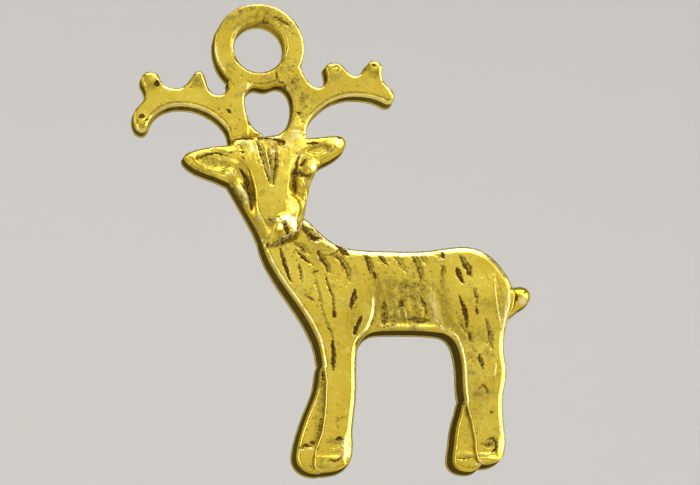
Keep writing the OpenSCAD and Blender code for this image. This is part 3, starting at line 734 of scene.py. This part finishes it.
def trunk_relief(x, z, edge):
    behind = x - bend(z, SHOULDER_Z, SHOULDER_X)
    shoulder = below(x, 7.5, 2.8) * below(z, -12.4, 5.0)
    haunch = above(x - bend(z, HAUNCH_Z, HAUNCH_X), 0, 1.3)
    plateau = BODY_TOP + 0.36 * shoulder + 0.28 * haunch * (0.35 + 0.65 * below(z, -13.8, 2.2))
    plateau += 0.1 * bump(x, z, (4.8, -16.2), (1.6, 2.2)) + 0.12 * bump(x, z, (13.6, -15.6), (1.8, 2.2))
    # The shoulder ends in a narrow bevel, from which the flank is slow to rise again.
    ends = below(z, -15.5, 0.9) * above(z, -19.4, 0.8)
    plateau -= 0.62 * ends * np.clip(behind + 0.16, 0, 0.2) * below(behind, 1.8, 1.6)
    neck = above(z, -14.6, 2.2) * below(x, 7.2, 1.2)
    plateau = plateau + (NECK_TOP - plateau) * neck * 0.8
    leg = below(z, -17.6, 4.2)
    plateau = plateau + (LEG_TOP - plateau) * leg
    # The bevel is widest by the edges that face the light, and wider on the left than below.
    bright = lit(edge)
    left = below(edge.right, -0.15, 0.4)
    h = plateau - bevel(edge.open, 0.2, 0.6, 0.16 + 0.31 * bright + 0.13 * left)
    h -= 0.06 * np.exp(-edge.open / 0.45)
    h -= drop(edge.step, 0.14, 0.05, 0.25)
    h -= 0.1 * band(edge.seam, 0, 0.22)
    dark = 0.65 * band(edge.seam, 0, 0.11) * smooth(1.2 * noise(x, z, 0.5, 17) + 0.7)
    ribs = above(x, 7.3, 0.5) * below(x, 11.0, 0.6) * below(z, -14.8, 0.8)
    ribs *= above(z, -17.5, 0.7)
    h += 0.045 * ribs * np.sin(2 * np.pi * (x + 0.12 * z) / RIB_PITCH)
    # The fold along the belly, the rise of the hooves, and a mound between the ribs.
    belly = above(x, 7.4, 0.5) * below(x, 11.6, 0.6)
    h += 0.06 * belly * (band(z, BELLY_FOLD, 0.14) - band(z, BELLY_FOLD + 0.33, 0.2))
    h += 0.1 * below(z, HOOF_Z, 0.3)
    h += 0.12 * bump(x, z, (14.6, -26.1), (0.7, 0.3))
    h += 0.05 * bump(x, z, (10.15, -16.6), (0.3, 0.5))
    h, dark = hollow_out(x, z, h, dark, RIB_HOLLOWS + [
        ([(14.15, -21.5), (14.2, -22.4), (14.3, -23.4)], 0.66, 0.025, 0.1)])
    # The hair stops short of the bright edges.
    haired, hair_film = carve(x, z, h, dark, HAIR)
    shown = 1 - 0.85 * bright * below(edge.open, 0.4, 0.14)
    h, dark = h + (haired - h) * shown, dark + (hair_film - dark) * shown
    h, dark = carve(x, z, h, dark, HOOF_MARKS + BACK_LINE_PITS)
    h = lean(x, z, h, HOOF_FACETS)
    # Pale gold along the belly fold, and painted highlights on the hooves and on the edges that face the
    # light.
    rub = 0.45 * belly * band(z, BELLY_FOLD - 0.02, 0.14)
    rub = np.maximum(rub, 0.7 * bump(x, z, (5.45, -25.6), (0.34, 1.1)))
    rub = np.maximum(rub, 0.6 * bump(x, z, (15.25, -25.4), (0.26, 0.7)))
    rub = np.maximum(rub, (0.85 - 0.2 * smooth(edge.right)) * bright * below(edge.open, 0.42, 0.14))
    # Painted highlight along the crest of the edges that face left.
    crest = band(edge.open, 0.15, 0.11) * left
    rub = np.maximum(rub, 0.85 * crest * smooth(noise(x, z, 0.6, 19) + 1.3))
    # Painted highlight on the shoulder's rear bevel, and beside it on the flank patina with painted shade.
    rub = np.maximum(rub, 1.1 * ends * band(behind, -0.07, 0.1))
    dark = np.maximum(dark, 0.8 * ends * band(behind, 0.14, 0.09))
    h, rub = raise_ridges(x, z, h, rub, TRUNK_RIDGES)
    # Painted highlight along the near legs' edges where they stand over the far legs.
    rub = np.maximum(rub, 0.45 * below(edge.step, 0.18, 0.08) * (z < LEG_Z))
    return h, dark, rub


def skull_relief(x, z, edge):
    left = bend(-z, FACE_DOWN, FACE_LEFT)
    right = bend(-z, CHEEK_DOWN, FACE_RIGHT)
    cheek = bend(-z, [8.6, 9.2, 9.8, 10.6], [0.3, 0.55, 0.95, 0.85])
    jaw = np.interp(-z, [10.2, 11.2], [0.26, 0.6])
    plate = smooth((x - left) / jaw + 0.5) * smooth((right - x) / cheek + 0.5)
    low = bend(-z, [5.5, 6.2, 7.5, 9.0, 13.0], [1.9, 2.0, 2.17, 2.25, 2.25])
    high = bend(-z, [5.5, 6.2, 7.4, 8.8, 10.2, 11.4, 12.3, 12.9],
                [1.95, 2.1, 2.4, 2.66, 2.76, 2.76, 2.55, 2.36])
    across = (x - (left + right) / 2) / np.maximum((right - left) / 2, 0.4)
    brow = below(z, -7.0, 1.2)
    h = low + (high - low) * plate * (1 - 0.16 * brow * np.clip(across, -1, 1) ** 2)
    joined = above(x, 1.2, 0.5) * above(z, -6.8, 0.4)
    h -= drop(edge.open, 0.28, 0.14, 0.3) + (1 - joined) * drop(edge.step, 0.16, 0.06, 0.25)
    h = swell(x, z, h, SKULL_MOUNDS)
    h = lean(x, z, h, SKULL_FACETS)
    # The V between two grooves on the forehead.
    v_left = np.interp(-z, [6.0, 9.1], [-0.2, 0.7])
    v_right = np.interp(-z, [6.0, 7.2, 9.1], [1.1, 1.0, 0.84])
    v = smooth((x - v_left) / 0.08 + 0.5) * smooth((v_right - x) / 0.08 + 0.5) * (z > V_TIP)
    v *= below(z, V_TOP, 0.2)
    h -= 0.07 * v
    dark = 0.55 * v
    h, dark = hollow_out(x, z, h, dark, [
        ([(-3.95, -7.4), (-3.2, -7.6), (-2.5, -7.75), (-1.9, -7.8)], 1.0, 0.2, 0.45),
        ([(3.1, -6.75), (3.6, -6.65), (4.1, -6.5), (4.5, -6.38)], 0.8, 0.2, 0.45),
        ([(-1.25, -8.0), (-0.85, -8.6), (-0.62, -9.5), (-0.5, -10.6)], 0.56, 0.13, 0.95),
        ([(2.35, -7.5), (2.24, -8.3), (2.2, -9.0), (2.26, -9.6)], 0.44, 0.1, 0.95),
        ([(2.1, -8.28), (2.6, -8.3), (3.1, -8.4)], 0.55, 0.07, 0.95),
        ([(1.52, -11.45), (1.6, -11.85), (1.75, -12.3)], 0.38, 0.2, 0.95)])
    h, dark = carve(x, z, h, dark, [
        ([(-3.9, -7.38), (-3.3, -7.12), (-2.6, -7.05), (-2.0, -7.25)], 0.16, 0.05, 1.0),
        ([(3.05, -6.3), (3.4, -6.2), (3.8, -6.2)], 0.17, 0.05, 1.1),
        ([(-1.72, -9.1), (-1.4, -9.7), (-0.95, -10.4)], 0.14, 0.06, 0.9),
        ([(2.6, -7.75), (2.85, -7.55), (2.95, -7.3)], 0.26, 0.1, 0.9),
        ([(2.3, -7.7), (2.4, -7.35), (2.6, -7.1)], 0.14, 0.06, 0.8),
        ([(2.95, -9.5), (2.95, -10.1), (2.85, -10.7)], 0.2, 0.05, 0.6),
        ([(-0.16, -6.2), (0.18, -7.4), (0.66, -9.05)], 0.26, 0.12, 0.9),
        ([(0.5, -6.5), (0.66, -7.5), (0.78, -8.6)], 0.16, 0.06, 0.8),
        ([(1.08, -6.7), (1.02, -7.9), (0.86, -8.95)], 0.22, 0.08, 0.85),
        ([(0.8, -6.0), (1.15, -6.08), (1.3, -6.45)], 0.22, 0.05, 1.1),
        ([(-1.5, -6.08), (-0.9, -6.06), (-0.3, -6.02)], 0.15, 0.06, 1.5),
        ([(-0.2, -6.0), (0.3, -5.96), (0.8, -5.98)], 0.13, 0.05, 1.4),
        ([(1.15, -6.05), (1.5, -6.2), (1.55, -6.5)], 0.2, 0.06, 1.4),
        ([(-1.2, -6.95), (-0.95, -7.0)], 0.18, 0.05, 1.3),
        ([(-1.2, -6.45), (-1.1, -6.75)], 0.22, 0.05, 0.8),
        ([(0.48, -11.32), (0.68, -11.38), (0.85, -11.5)], 0.2, 0.05, 0.8)])
    h, rub = raise_ridges(x, z, h, np.zeros(len(x)), [
        ([(2.02, -9.2), (1.98, -8.4), (2.05, -7.6), (2.4, -7.05), (2.95, -6.65)], 0.13, 0.04, 0.8),
        ([(2.45, -7.7), (2.52, -7.35), (2.7, -7.0)], 0.14, 0.1, 0.9),
        ([(0.28, -6.4), (0.5, -7.5), (0.76, -8.8)], 0.13, 0.06, 0.7),
        ([(-0.45, -8.6), (-0.3, -9.4), (-0.24, -10.4), (-0.1, -11.1)], 0.12, 0.03, 0.5),
        ([(4.1, -7.12), (4.5, -6.85), (4.9, -6.7)], 0.13, 0.04, 0.8)])
    # Painted shade along the chin's lower edge, and the pale broken line where it meets the neck.
    under = below(z, CHIN, 0.3) * above(x, 1.2, 0.6)
    dark = np.maximum(dark, 0.75 * below(edge.step, 0.34, 0.12) * under)
    chin = below(z, CHIN, 0.5) * smooth(1.5 * noise(x, z, 0.35, 18) + 0.8)
    rub = np.maximum(rub, chin * below(edge.step, 0.16, 0.08))
    # Painted highlight on the edges that face the light.
    rub = np.maximum(rub, 0.5 * lit(edge) * below(edge.open, 0.26, 0.1))
    return h, dark, rub


RELIEF = {"crown": crown_relief, "tail": tail_relief, "far_legs": far_legs_relief,
          "trunk": trunk_relief, "skull": skull_relief}

# Places where casting pits gather: centre, spread, how many.
PITTED = [((0.0, 2.2), 0.9, 30), ((1.8, -1.6), 0.8, 26), ((-1.8, -2.8), 0.9, 26),
          ((-6.9, -2.4), 0.6, 10), ((0.3, -6.2), 1.1, 50), ((9.4, -15.1), 0.8, 60),
          ((4.6, -13.3), 1.4, 50), ((13.0, -19.5), 0.8, 16), ((7.4, -14.5), 0.6, 20),
          ((3.2, -16.0), 1.0, 24), ((12.6, -16.5), 1.2, 22), ((4.2, -25.2), 1.2, 14),
          ((14.2, -25.0), 1.0, 14), ((2.6, -4.2), 0.7, 24), ((3.6, -6.6), 0.7, 16),
          ((-3.0, -7.8), 0.6, 24), ((-1.1, -9.7), 0.3, 16)]


STRAY_PITS = 600


def pits():
    """Seeded pits: place, radius and depth."""
    rng = np.random.default_rng(11)
    out = []
    for centre, spread, count in PITTED:
        out += [(*(np.array(centre) + rng.normal(0, spread, 2)), rng.uniform(0.035, 0.08),
                 rng.uniform(0.015, 0.045)) for _ in range(count)]
    lo, hi = FLAT.min(0), FLAT.max(0)
    out += [(*rng.uniform(lo, hi), rng.uniform(0.03, 0.07), rng.uniform(0.01, 0.03))
            for _ in range(STRAY_PITS)]
    return out


PITS = pits()


def each_pit(x, z, some):
    """For each of some pits, the points in reach, its shape at them and its depth."""
    for px, pz, radius, depth in some:
        near = np.nonzero((np.abs(x - px) < 2 * radius) & (np.abs(z - pz) < 2 * radius))[0]
        if len(near):
            yield near, bump(x[near], z[near], (px, pz), (radius, radius)), depth


# Thin film over whole areas: centre, radii, how dark. The one on the lower muzzle, which faces down, is
# painted shade.
HAZE_AND_SHADE = [
    ((2.7, -8.4), (0.7, 1.3), 0.5), ((-1.3, -9.0), (0.8, 1.5), 0.45), ((0.9, -6.4), (1.6, 0.6), 0.3),
    ((9.2, -16.4), (2.3, 1.9), 0.62), ((13.8, -16.5), (2.2, 3.2), 0.3), ((5.0, -15.6), (2.0, 2.2), 0.2),
    ((3.4, -13.6), (2.2, 1.8), 0.24), ((0.0, 2.0), (2.6, 1.2), 0.5), ((1.8, -2.8), (2.4, 1.8), 0.4),
    ((-2.8, -7.7), (1.6, 0.9), 0.25), ((4.6, -2.6), (3.0, 1.6), 0.24), ((-2.2, -0.2), (1.0, 2.2), 0.16),
    ((3.9, -6.6), (1.2, 0.8), 0.28), ((14.2, -21.5), (1.4, 3.6), 0.36), ((0.9, -12.2), (1.2, 0.8), 0.3),
    ((13.0, -24.5), (0.8, 2.2), 0.12),
]


def weather(x, z, edge, h, dark, rub):
    """The uneven skin of the casting: slow waves, fine grain, pits, film and rubbed places, with painted
    highlights among the rubbed places and painted shade on the lower muzzle and along the edges that face
    down and left.
    """
    haze_and_shade = np.zeros(len(x))
    for centre, radii, strength in HAZE_AND_SHADE:
        haze_and_shade = np.maximum(haze_and_shade, strength * bump(x, z, centre, radii) ** 0.5)
    haze_and_shade = haze_and_shade * (1 + 0.5 * noise(x + z, z - x, 0.9, 15) + 0.4 * noise(x - z, z + x, 0.4, 16))
    dark = np.maximum(dark, haze_and_shade)
    for i, (centre, radii, tilt, strength) in enumerate(STAINS_AND_SHADE):
        dark = np.maximum(dark, strength * blotch(x, z, centre, radii, tilt, 60 + i))
    for i, (centre, radii, tilt, strength) in enumerate(RUBBED_AND_HIGHLIGHTS):
        rub = np.maximum(rub, strength * blotch(x, z, centre, radii, tilt, 160 + i))
    u, v = 0.8 * x - 0.6 * z, 0.6 * x + 0.8 * z
    h = h + 0.012 * noise(u, v, 1.3, 5) + 0.007 * noise(v, u, 0.5, 6) + 0.003 * noise(u, v, 0.2, 7)
    h = h + np.clip(dark, 0, 1) * (0.012 * noise(x, z, 0.2, 12) + 0.008 * noise(x, z, 0.1, 13))
    for near, pit, depth in each_pit(x, z, PITS):
        h[near] -= depth * pit
        dark[near] = np.maximum(dark[near], 0.9 * pit)
    # Painted shade along the edges that face down and left.
    shade = below(edge.open, 0.3, 0.3) * smooth((-0.8 * edge.up - 0.6 * edge.right + 0.1) / 0.8)
    dark = np.maximum(dark, 0.45 * shade * smooth(noise(x, z, 0.8, 14) + 0.8))
    return h, dark, rub


# ---------------------------------------------------------------- meshes

ROWS = 6              # rows of faces down a side wall
STEP = ROWS + 1       # points from the front to the back of a wall
TOP_DRAFT = 0.03      # slope of the side walls from the ring to the upper head
ADDED_DRAFT = 0.06    # how much more the body's walls have
WALL_LEVELS = (1, 0.88, 0.6, 0.32)   # heights of a wall's upper points, as shares of its height
LIP = 0.03            # how far the parting line's lip stands out, close above the back
LIP_AT = 0.15         # the height above the back where the wall turns out to it
BACK_EDGE = 0.02      # how far the back's edge is drawn in
HOLE_R = 1.9          # walls nearer than this to the axis of the ring's hole have no draft
BACK_SHIFT = 0.3      # the back's pits lie this far from the front's
# How dark each layer's side walls are painted, as patina and as painted shade.
SIDE_FILM_AND_SHADE = {"crown": 0.8, "tail": 0.9, "far_legs": 1.0, "trunk": 1.0, "skull": 0.9}


def outward():
    """At each point of the outside line, the way out of the metal, and zero elsewhere."""
    lines = np.zeros((len(POINTS), 2))
    for side, sign in ((0, 1), (1, -1)):
        pick = (SIDES[:, side] >= 0) & (SIDES[:, 1 - side] < 0)
        for end in (0, 1):
            np.add.at(lines, EDGES[pick, end], -sign * LEFT[pick])
    size = np.hypot(*lines.T)
    lines[size > 0] /= size[size > 0, None]
    lines[np.hypot(*POINTS.T) < HOLE_R] = 0
    moved = lines.any(1)
    out = np.zeros((len(FLAT), 2))
    out[closest(POINTS[moved], FLAT)[0]] = lines[moved]
    return out


OUTWARD = outward()


def back_height(x, z, d):
    """The back: flat, with a soft edge, shallow waves and small pits."""
    h = 0.012 * noise(x, z, 1.7, 21) + 0.006 * noise(x, z, 0.4, 22)
    for near, pit, depth in each_pit(x + BACK_SHIFT, z, PITS[::2]):
        h[near] += depth * pit
    return np.clip(0.02 + h, 0, None) * smooth(d / 0.2)


def boundary(tris):
    """Directed edges that only one of the triangles has, metal on their left."""
    edges = np.concatenate([tris[:, [0, 1]], tris[:, [1, 2]], tris[:, [2, 0]]])
    count = len(FLAT)
    here, back = edges[:, 0] * count + edges[:, 1], edges[:, 1] * count + edges[:, 0]
    return edges[~np.isin(here, back)]


def wall(edges):
    """Quads down the wall under the edges, in the numbering of a layer's places."""
    a, b = edges[:, 0] * STEP, edges[:, 1] * STEP
    return np.concatenate([np.stack([b + k, a + k, a + k + 1, b + k + 1], 1) for k in range(ROWS)])


def shell(tris, owned_point):
    """The faces round some triangles: front, back, walls that show, and walls in a seam."""
    rim = boundary(tris)
    shows = owned_point[rim].all(1)
    return [tris * STEP, tris[:, ::-1] * STEP + ROWS, wall(rim[shows]), wall(rim[~shows])]


def face_normals(place, faces):
    """The normals of the faces, as long as twice the area of their first three corners."""
    p, q, r = (place[faces[:, i]] for i in range(3))
    return np.cross(q - p, r - p)


def unit(vectors):
    return vectors / np.maximum(np.linalg.norm(vectors, axis=1), 1e-12)[:, None]


def build_layer(layer):
    """Makes the pieces of one layer, with one set of normals across their seams."""
    members = LAYERS[layer][1]
    picked = np.isin(TRI_NODE, [NODES.index(n) for n in members])
    tris, tri_node = TRIS[picked], TRI_NODE[picked]
    used = np.unique(tris)
    x, z = FLAT[used].T
    edge = Edges(layer, FLAT[used])
    d = np.minimum(edge.open, edge.step)
    h, dark, rub = weather(x, z, edge, *RELIEF[layer](x, z, edge))
    place = np.zeros((len(FLAT), STEP, 3))
    side, tint, wear_and_highlight = np.zeros((3, len(FLAT), STEP))
    lip = np.full(len(h), LIP_AT)
    heights = [share * h for share in WALL_LEVELS] + [lip, 0.45 * lip, back_height(x, z, d)]
    # The side walls are painted dark, as patina and as painted shade that is strongest where they face down
    # and left.
    facing = OUTWARD[used].sum(1)
    wall_film_and_shade = SIDE_FILM_AND_SHADE[layer] * (0.68 + 0.32 * below(facing, 0.5, 1.2))
    wall_film_and_shade = wall_film_and_shade + 0.06 * noise(x, z, 1.1, 34) + 0.05 * noise(x, z, 0.35, 35)
    # Their draft grows from the head down to the body.
    draft = TOP_DRAFT + ADDED_DRAFT * below(z, -9.0, 5.0)
    for k, level in enumerate(heights):
        grow = draft * (h - level) + LIP * (k == ROWS - 1)
        grow -= BACK_EDGE * (k == ROWS)
        place[used, k, 0] = x + grow * OUTWARD[used, 0]
        place[used, k, 1] = BACK - level
        place[used, k, 2] = z + grow * OUTWARD[used, 1]
        side[used, k] = wall_film_and_shade * (0 < k < ROWS) * (0.4 if k == ROWS - 2 else 1)
    # The front's rim points take part of the walls' patina and painted shade.
    on_edge = used[d < ON_EDGE]
    side[on_edge, 0] = 0.4 * SIDE_FILM_AND_SHADE[layer]
    tint[used, 0] = dark
    wear_and_highlight[used, 0] = rub
    # Painted highlight along the row where the wall turns out to the parting line's lip, which also carries
    # less of the walls' painted shade.
    wear_and_highlight[used, ROWS - 2] = 0.6
    cloud = noise(x, z, 2.2, 31) + 0.6 * noise(x, z, 0.8, 32) + 0.4 * noise(x, z, 0.3, 33)
    tint[used, ROWS] = 0.45 * smooth(cloud + 0.2)
    # Smooth normals over the front, the back and the walls that show.
    owned_point = np.zeros(len(FLAT), bool)
    owned_point[on_edge] = True
    front, back, walls, _ = shell(tris, owned_point)
    place = place.reshape(-1, 3)
    normal = np.zeros_like(place)
    for f in (front, back, walls[:, [0, 1, 2]], walls[:, [0, 2, 3]]):
        n = face_normals(place, f)
        for i in range(3):
            np.add.at(normal, f[:, i], n)
    normal = unit(normal)
    marks = {"patina": tint.ravel(), "side": side.ravel(), "rub": wear_and_highlight.ravel()}
    return [build_piece(name, tris[tri_node == NODES.index(name)], owned_point, place, normal, marks)
            for name in members]


def build_piece(name, tris, owned_point, place, normal, marks):
    """One region as a closed mesh."""
    faces = shell(tris, owned_point)
    seams = faces[-1]
    ids, index = np.unique(np.concatenate([f.ravel() for f in faces]), return_inverse=True)
    sizes = np.concatenate([np.full(len(f), f.shape[1]) for f in faces])
    starts = np.concatenate([[0], np.cumsum(sizes)[:-1]])
    mesh = bpy.data.meshes.new(name + "_cast")
    mesh.vertices.add(len(ids))
    mesh.vertices.foreach_set("co", (place[ids] / MM).ravel())
    mesh.loops.add(len(index))
    mesh.loops.foreach_set("vertex_index", index.ravel().astype(np.int32))
    mesh.polygons.add(len(sizes))
    mesh.polygons.foreach_set("loop_start", starts.astype(np.int32))
    mesh.polygons.foreach_set("loop_total", sizes.astype(np.int32))
    mesh.update(calc_edges=True)
    mesh.polygons.foreach_set("use_smooth", np.ones(len(sizes), bool))
    loop_normal = normal[ids][index.ravel()]
    if len(seams):
        loop_normal[-4 * len(seams):] = np.repeat(unit(face_normals(place, seams)), 4, 0)
    mesh.normals_split_custom_set(loop_normal.tolist())
    for key, values in marks.items():
        layer = mesh.attributes.new(key, "FLOAT", "POINT")
        layer.data.foreach_set("value", values[ids].astype(np.float32))
    piece = bpy.data.objects.new(name + "_cast", mesh)
    bpy.context.scene.collection.objects.link(piece)
    return piece


# ---------------------------------------------------------------- material


class Nodes:
    """A short way to write a node tree."""

    def __init__(self, name):
        self.material = bpy.data.materials.new(name)
        self.material.use_nodes = True
        self.tree = self.material.node_tree
        self.shader = self.tree.nodes["Principled BSDF"]

    def add(self, kind, settings=None, **inputs):
        node = self.tree.nodes.new(kind)
        for key, value in (settings or {}).items():
            setattr(node, key, value)
        for key, value in inputs.items():
            self.put(node.inputs[key.replace("_", " ")], value)
        return node

    def put(self, socket, value):
        if isinstance(value, bpy.types.NodeSocket):
            self.tree.links.new(value, socket)
        else:
            socket.default_value = value

    def maths(self, operation, a, b):
        node = self.tree.nodes.new("ShaderNodeMath")
        node.operation = operation
        self.put(node.inputs[0], a)
        self.put(node.inputs[1], b)
        return node.outputs[0]

    def times(self, a, b):
        return self.maths("MULTIPLY", a, b)

    def plus(self, a, b):
        return self.maths("ADD", a, b)

    def ramp(self, factor, low, high):
        """0 at low, 1 at high, smooth between."""
        node = self.tree.nodes.new("ShaderNodeMapRange")
        node.interpolation_type = "SMOOTHSTEP"
        self.put(node.inputs["Value"], factor)
        node.inputs["From Min"].default_value = low
        node.inputs["From Max"].default_value = high
        return node.outputs["Result"]

    def mix(self, factor, a, b):
        node = self.tree.nodes.new("ShaderNodeMix")
        node.data_type = "RGBA"
        self.put(node.inputs["Factor"], factor)
        self.put(node.inputs[6], a)
        self.put(node.inputs[7], b)
        return node.outputs[2]

    def noise(self, place, scale, detail, roughness=0.55):
        node = self.add("ShaderNodeTexNoise", Vector=place, Scale=scale, Detail=detail, Roughness=roughness)
        return node.outputs["Fac"]


GOLD = (0.82, 0.63, 0.075, 1)
PALE_GOLD = (0.90, 0.75, 0.17, 1)
DEEP_GOLD = (0.72, 0.52, 0.05, 1)
RUBBED_AND_HIGHLIGHT_GOLD = (0.95, 0.86, 0.40, 1)
OLIVE = (0.24, 0.175, 0.03, 1)
# Colour of the side walls: patina, and painted shade that is strongest on walls facing down and left.
WALL_OLIVE = (0.04, 0.026, 0.006, 1)
UMBER = (0.085, 0.046, 0.008, 1)
EDGE_TINT = (0.95, 0.82, 0.4, 1)


def antique_gold():
    """Gold plating, rubbed bright where it stands proud, with dark patina left in the cuts. Its rub mark
    also paints highlights on edges that face the light, and its patina and side marks also paint shade
    where edges and walls face down and left.
    """
    n = Nodes("antique_gold")
    place = n.add("ShaderNodeTexCoord").outputs["Object"]
    patina = n.add("ShaderNodeAttribute", {"attribute_name": "patina"}).outputs["Fac"]
    side = n.add("ShaderNodeAttribute", {"attribute_name": "side"}).outputs["Fac"]
    rub = n.add("ShaderNodeAttribute", {"attribute_name": "rub"}).outputs["Fac"]
    broad = n.noise(place, 450, 2)
    fine = n.noise(place, 2600, 4, 0.65)
    speck = n.noise(place, 7000, 2)

    tone = n.mix(n.ramp(broad, 0.35, 0.7), DEEP_GOLD, GOLD)
    tone = n.mix(n.ramp(fine, 0.5, 0.8), tone, PALE_GOLD)
    mottle = n.maths("SUBTRACT", fine, 0.5)
    grit = n.times(n.maths("SUBTRACT", speck, 0.5), n.times(patina, 1.6))
    # The patina mark is patina in the cuts and stains, and also painted shade on down- and left-facing
    # edges, the chin and the lower muzzle.
    grime_and_shade = n.plus(n.plus(patina, n.times(mottle, 0.9)), grit)
    deep = n.ramp(grime_and_shade, 0.6, 1.05)
    film_and_shade = n.ramp(grime_and_shade, 0.1, 0.75)
    spots = n.times(n.ramp(speck, 0.66, 0.74), n.ramp(broad, 0.45, 0.65))
    # Dark side walls: patina and painted shade.
    wall_film_and_shade = n.times(n.ramp(side, 0.2, 0.9), n.ramp(fine, 0.0, 0.4))
    # The rub mark is rubbed wear and painted highlights: pale gold mixed in where edges face the light.
    wear_and_highlight = n.ramp(n.plus(rub, n.times(mottle, 0.8)), 0.2, 0.9)
    tone = n.mix(n.times(film_and_shade, 0.76), tone, OLIVE)
    tone = n.mix(n.times(wall_film_and_shade, 0.95), tone, WALL_OLIVE)
    tone = n.mix(n.times(wear_and_highlight, 0.75), tone, RUBBED_AND_HIGHLIGHT_GOLD)
    tone = n.mix(n.maths("MAXIMUM", deep, n.times(spots, 0.6)), tone, UMBER)
    n.put(n.shader.inputs["Base Color"], tone)

    cover = n.maths("MAXIMUM", n.times(deep, 0.75), n.times(wall_film_and_shade, 0.94))
    cover = n.maths("MAXIMUM", cover, n.times(film_and_shade, 0.55))
    n.put(n.shader.inputs["Metallic"], n.maths("SUBTRACT", 1.0, cover))
    n.put(n.shader.inputs["Specular IOR Level"], 0.0)
    n.put(n.shader.inputs["Specular Tint"], EDGE_TINT)
    rough = n.plus(0.19, n.times(fine, 0.13))
    rough = n.plus(rough, n.times(film_and_shade, 0.22))
    rough = n.plus(rough, n.times(wall_film_and_shade, 0.3))
    n.put(n.shader.inputs["Roughness"], rough)

    grain = n.plus(n.times(fine, 0.7), n.times(speck, 0.3))
    relief = n.add("ShaderNodeBump", Height=grain, Strength=0.35, Distance=0.00003)
    n.put(n.shader.inputs["Normal"], relief.outputs["Normal"])
    return n.material


GOLD_MATERIAL = antique_gold()

for layer in LAYERS:
    for piece in build_layer(layer):
        piece.data.materials.append(GOLD_MATERIAL)
        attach(piece, "root")
        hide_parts(piece.name[:-len("_cast")])

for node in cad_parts.values():
    node.data.materials.clear()
    node.data.materials.append(GOLD_MATERIAL)

# ---------------------------------------------------------------- floor, light and camera

LOW, HIGH = CAD_BOX
CENTRE = (LOW + HIGH) / 2
AIM = CENTRE + Vector((0.00105, 0.0, -0.00037))    # the photograph's centre
FLOOR_DROP = 0.30                                 # from the hooves down to the floor
VIEW_AZIMUTH = -8.0
VIEW_ELEVATION = -9.0
DISTANCE = 0.150
VISIBLE_WIDTH = 0.0443
SENSOR = 0.036
WORLD_STRENGTH = 0.2
BACKDROP_RADIANCE = 4.6
PAPER = (0.66, 0.645, 0.62)

# The lights on the charm: name, azimuth, elevation, distance, size, radiance.
LAMPS = [
    ("front", 5, 18, 0.75, (0.84, 0.72), 0.605),
    ("key", 40, 48, 0.68, (0.40, 0.32), 3.6),
    ("right", 76, 8, 0.60, (0.54, 0.60), 2.2),
    ("top", 10, 76, 0.60, (0.75, 0.42), 3.2),
    ("left", -78, 10, 0.68, (0.45, 0.60), 2.1),
    ("below", -15, -42, 0.50, (0.44, 0.20), 1.3),
    ("low_left", -55, -28, 0.50, (0.24, 0.24), 1.4),
]


def direction(azimuth, elevation):
    """Unit vector from the object towards that azimuth and elevation, 0 being the front."""
    a, e = math.radians(azimuth), math.radians(elevation)
    return Vector((math.sin(a) * math.cos(e), -math.cos(a) * math.cos(e), math.sin(e)))


def plain(name, colour, roughness):
    material = bpy.data.materials.new(name)
    material.use_nodes = True
    shader = material.node_tree.nodes["Principled BSDF"]
    shader.inputs["Base Color"].default_value = (*colour, 1)
    shader.inputs["Roughness"].default_value = roughness
    return material


def bowl():
    """A pale floor that curves up all round into a wall, well away from the charm."""
    floor = LOW.z - FLOOR_DROP
    radius, cove, height, parts, turns = 1.3, 0.4, 1.1, 12, 96
    profile = [(0.05, floor), (0.4, floor), (radius - cove, floor)]
    for i in range(1, parts + 1):
        a = math.pi / 2 * i / parts
        profile.append((radius - cove + cove * math.sin(a), floor + cove * (1 - math.cos(a))))
    profile.append((radius, floor + height))
    verts, faces = [], [tuple(range(turns))]
    for r, z in profile:
        for k in range(turns):
            a = 2 * math.pi * k / turns
            verts.append((r * math.cos(a), r * math.sin(a), z))
    for i in range(len(profile) - 1):
        for k in range(turns):
            here, beside = i * turns + k, i * turns + (k + 1) % turns
            faces.append((here, here + turns, beside + turns, beside))
    mesh = bpy.data.meshes.new("bowl")
    mesh.from_pydata(verts, [], faces)
    for p in mesh.polygons:
        p.use_smooth = True
    mesh.materials.append(plain("paper", PAPER, 1.0))
    backdrop = bpy.data.objects.new("bowl", mesh)
    bpy.context.scene.collection.objects.link(backdrop)


def softbox(name, azimuth, elevation, distance, size, radiance, aim=CENTRE):
    """A soft light that stands in that direction from the charm and faces the aim."""
    lamp = bpy.data.lights.new(name, "AREA")
    lamp.shape, lamp.size, lamp.size_y = "RECTANGLE", size[0], size[1]
    lamp.energy = radiance * math.pi * size[0] * size[1]
    obj = bpy.data.objects.new(name, lamp)
    obj.location = CENTRE + direction(azimuth, elevation) * distance
    obj.rotation_euler = (obj.location - aim).to_track_quat("Z", "Y").to_euler()
    bpy.context.scene.collection.objects.link(obj)


def world_light():
    world = bpy.data.worlds.new("studio")
    world.use_nodes = True
    background = world.node_tree.nodes["Background"]
    background.inputs["Color"].default_value = (1, 1, 1, 1)
    background.inputs["Strength"].default_value = WORLD_STRENGTH
    bpy.context.scene.world = world


def photo_camera():
    camera = bpy.data.cameras.new("camera")
    camera.sensor_width = SENSOR * MM
    camera.lens = SENSOR * DISTANCE / VISIBLE_WIDTH * MM
    camera.clip_start, camera.clip_end = 0.005, 10
    camera.dof.use_dof = False
    obj = bpy.data.objects.new("camera", camera)
    way = direction(VIEW_AZIMUTH, VIEW_ELEVATION)
    obj.location = AIM + way * DISTANCE
    obj.rotation_euler = way.to_track_quat("Z", "Y").to_euler()
    bpy.context.scene.collection.objects.link(obj)
    bpy.context.scene.camera = obj


bowl()
world_light()
for lamp in LAMPS:
    softbox(*lamp)
for name, way in (("left", -1), ("right", 1)):
    aim = CENTRE + Vector((0.2 * way, 1.3, 0.0))
    softbox("backdrop_" + name, 180 - 50 * way, 40, 0.45, (0.4, 0.4), BACKDROP_RADIANCE, aim)
photo_camera()
bpy.context.scene.view_settings.view_transform = "Standard"
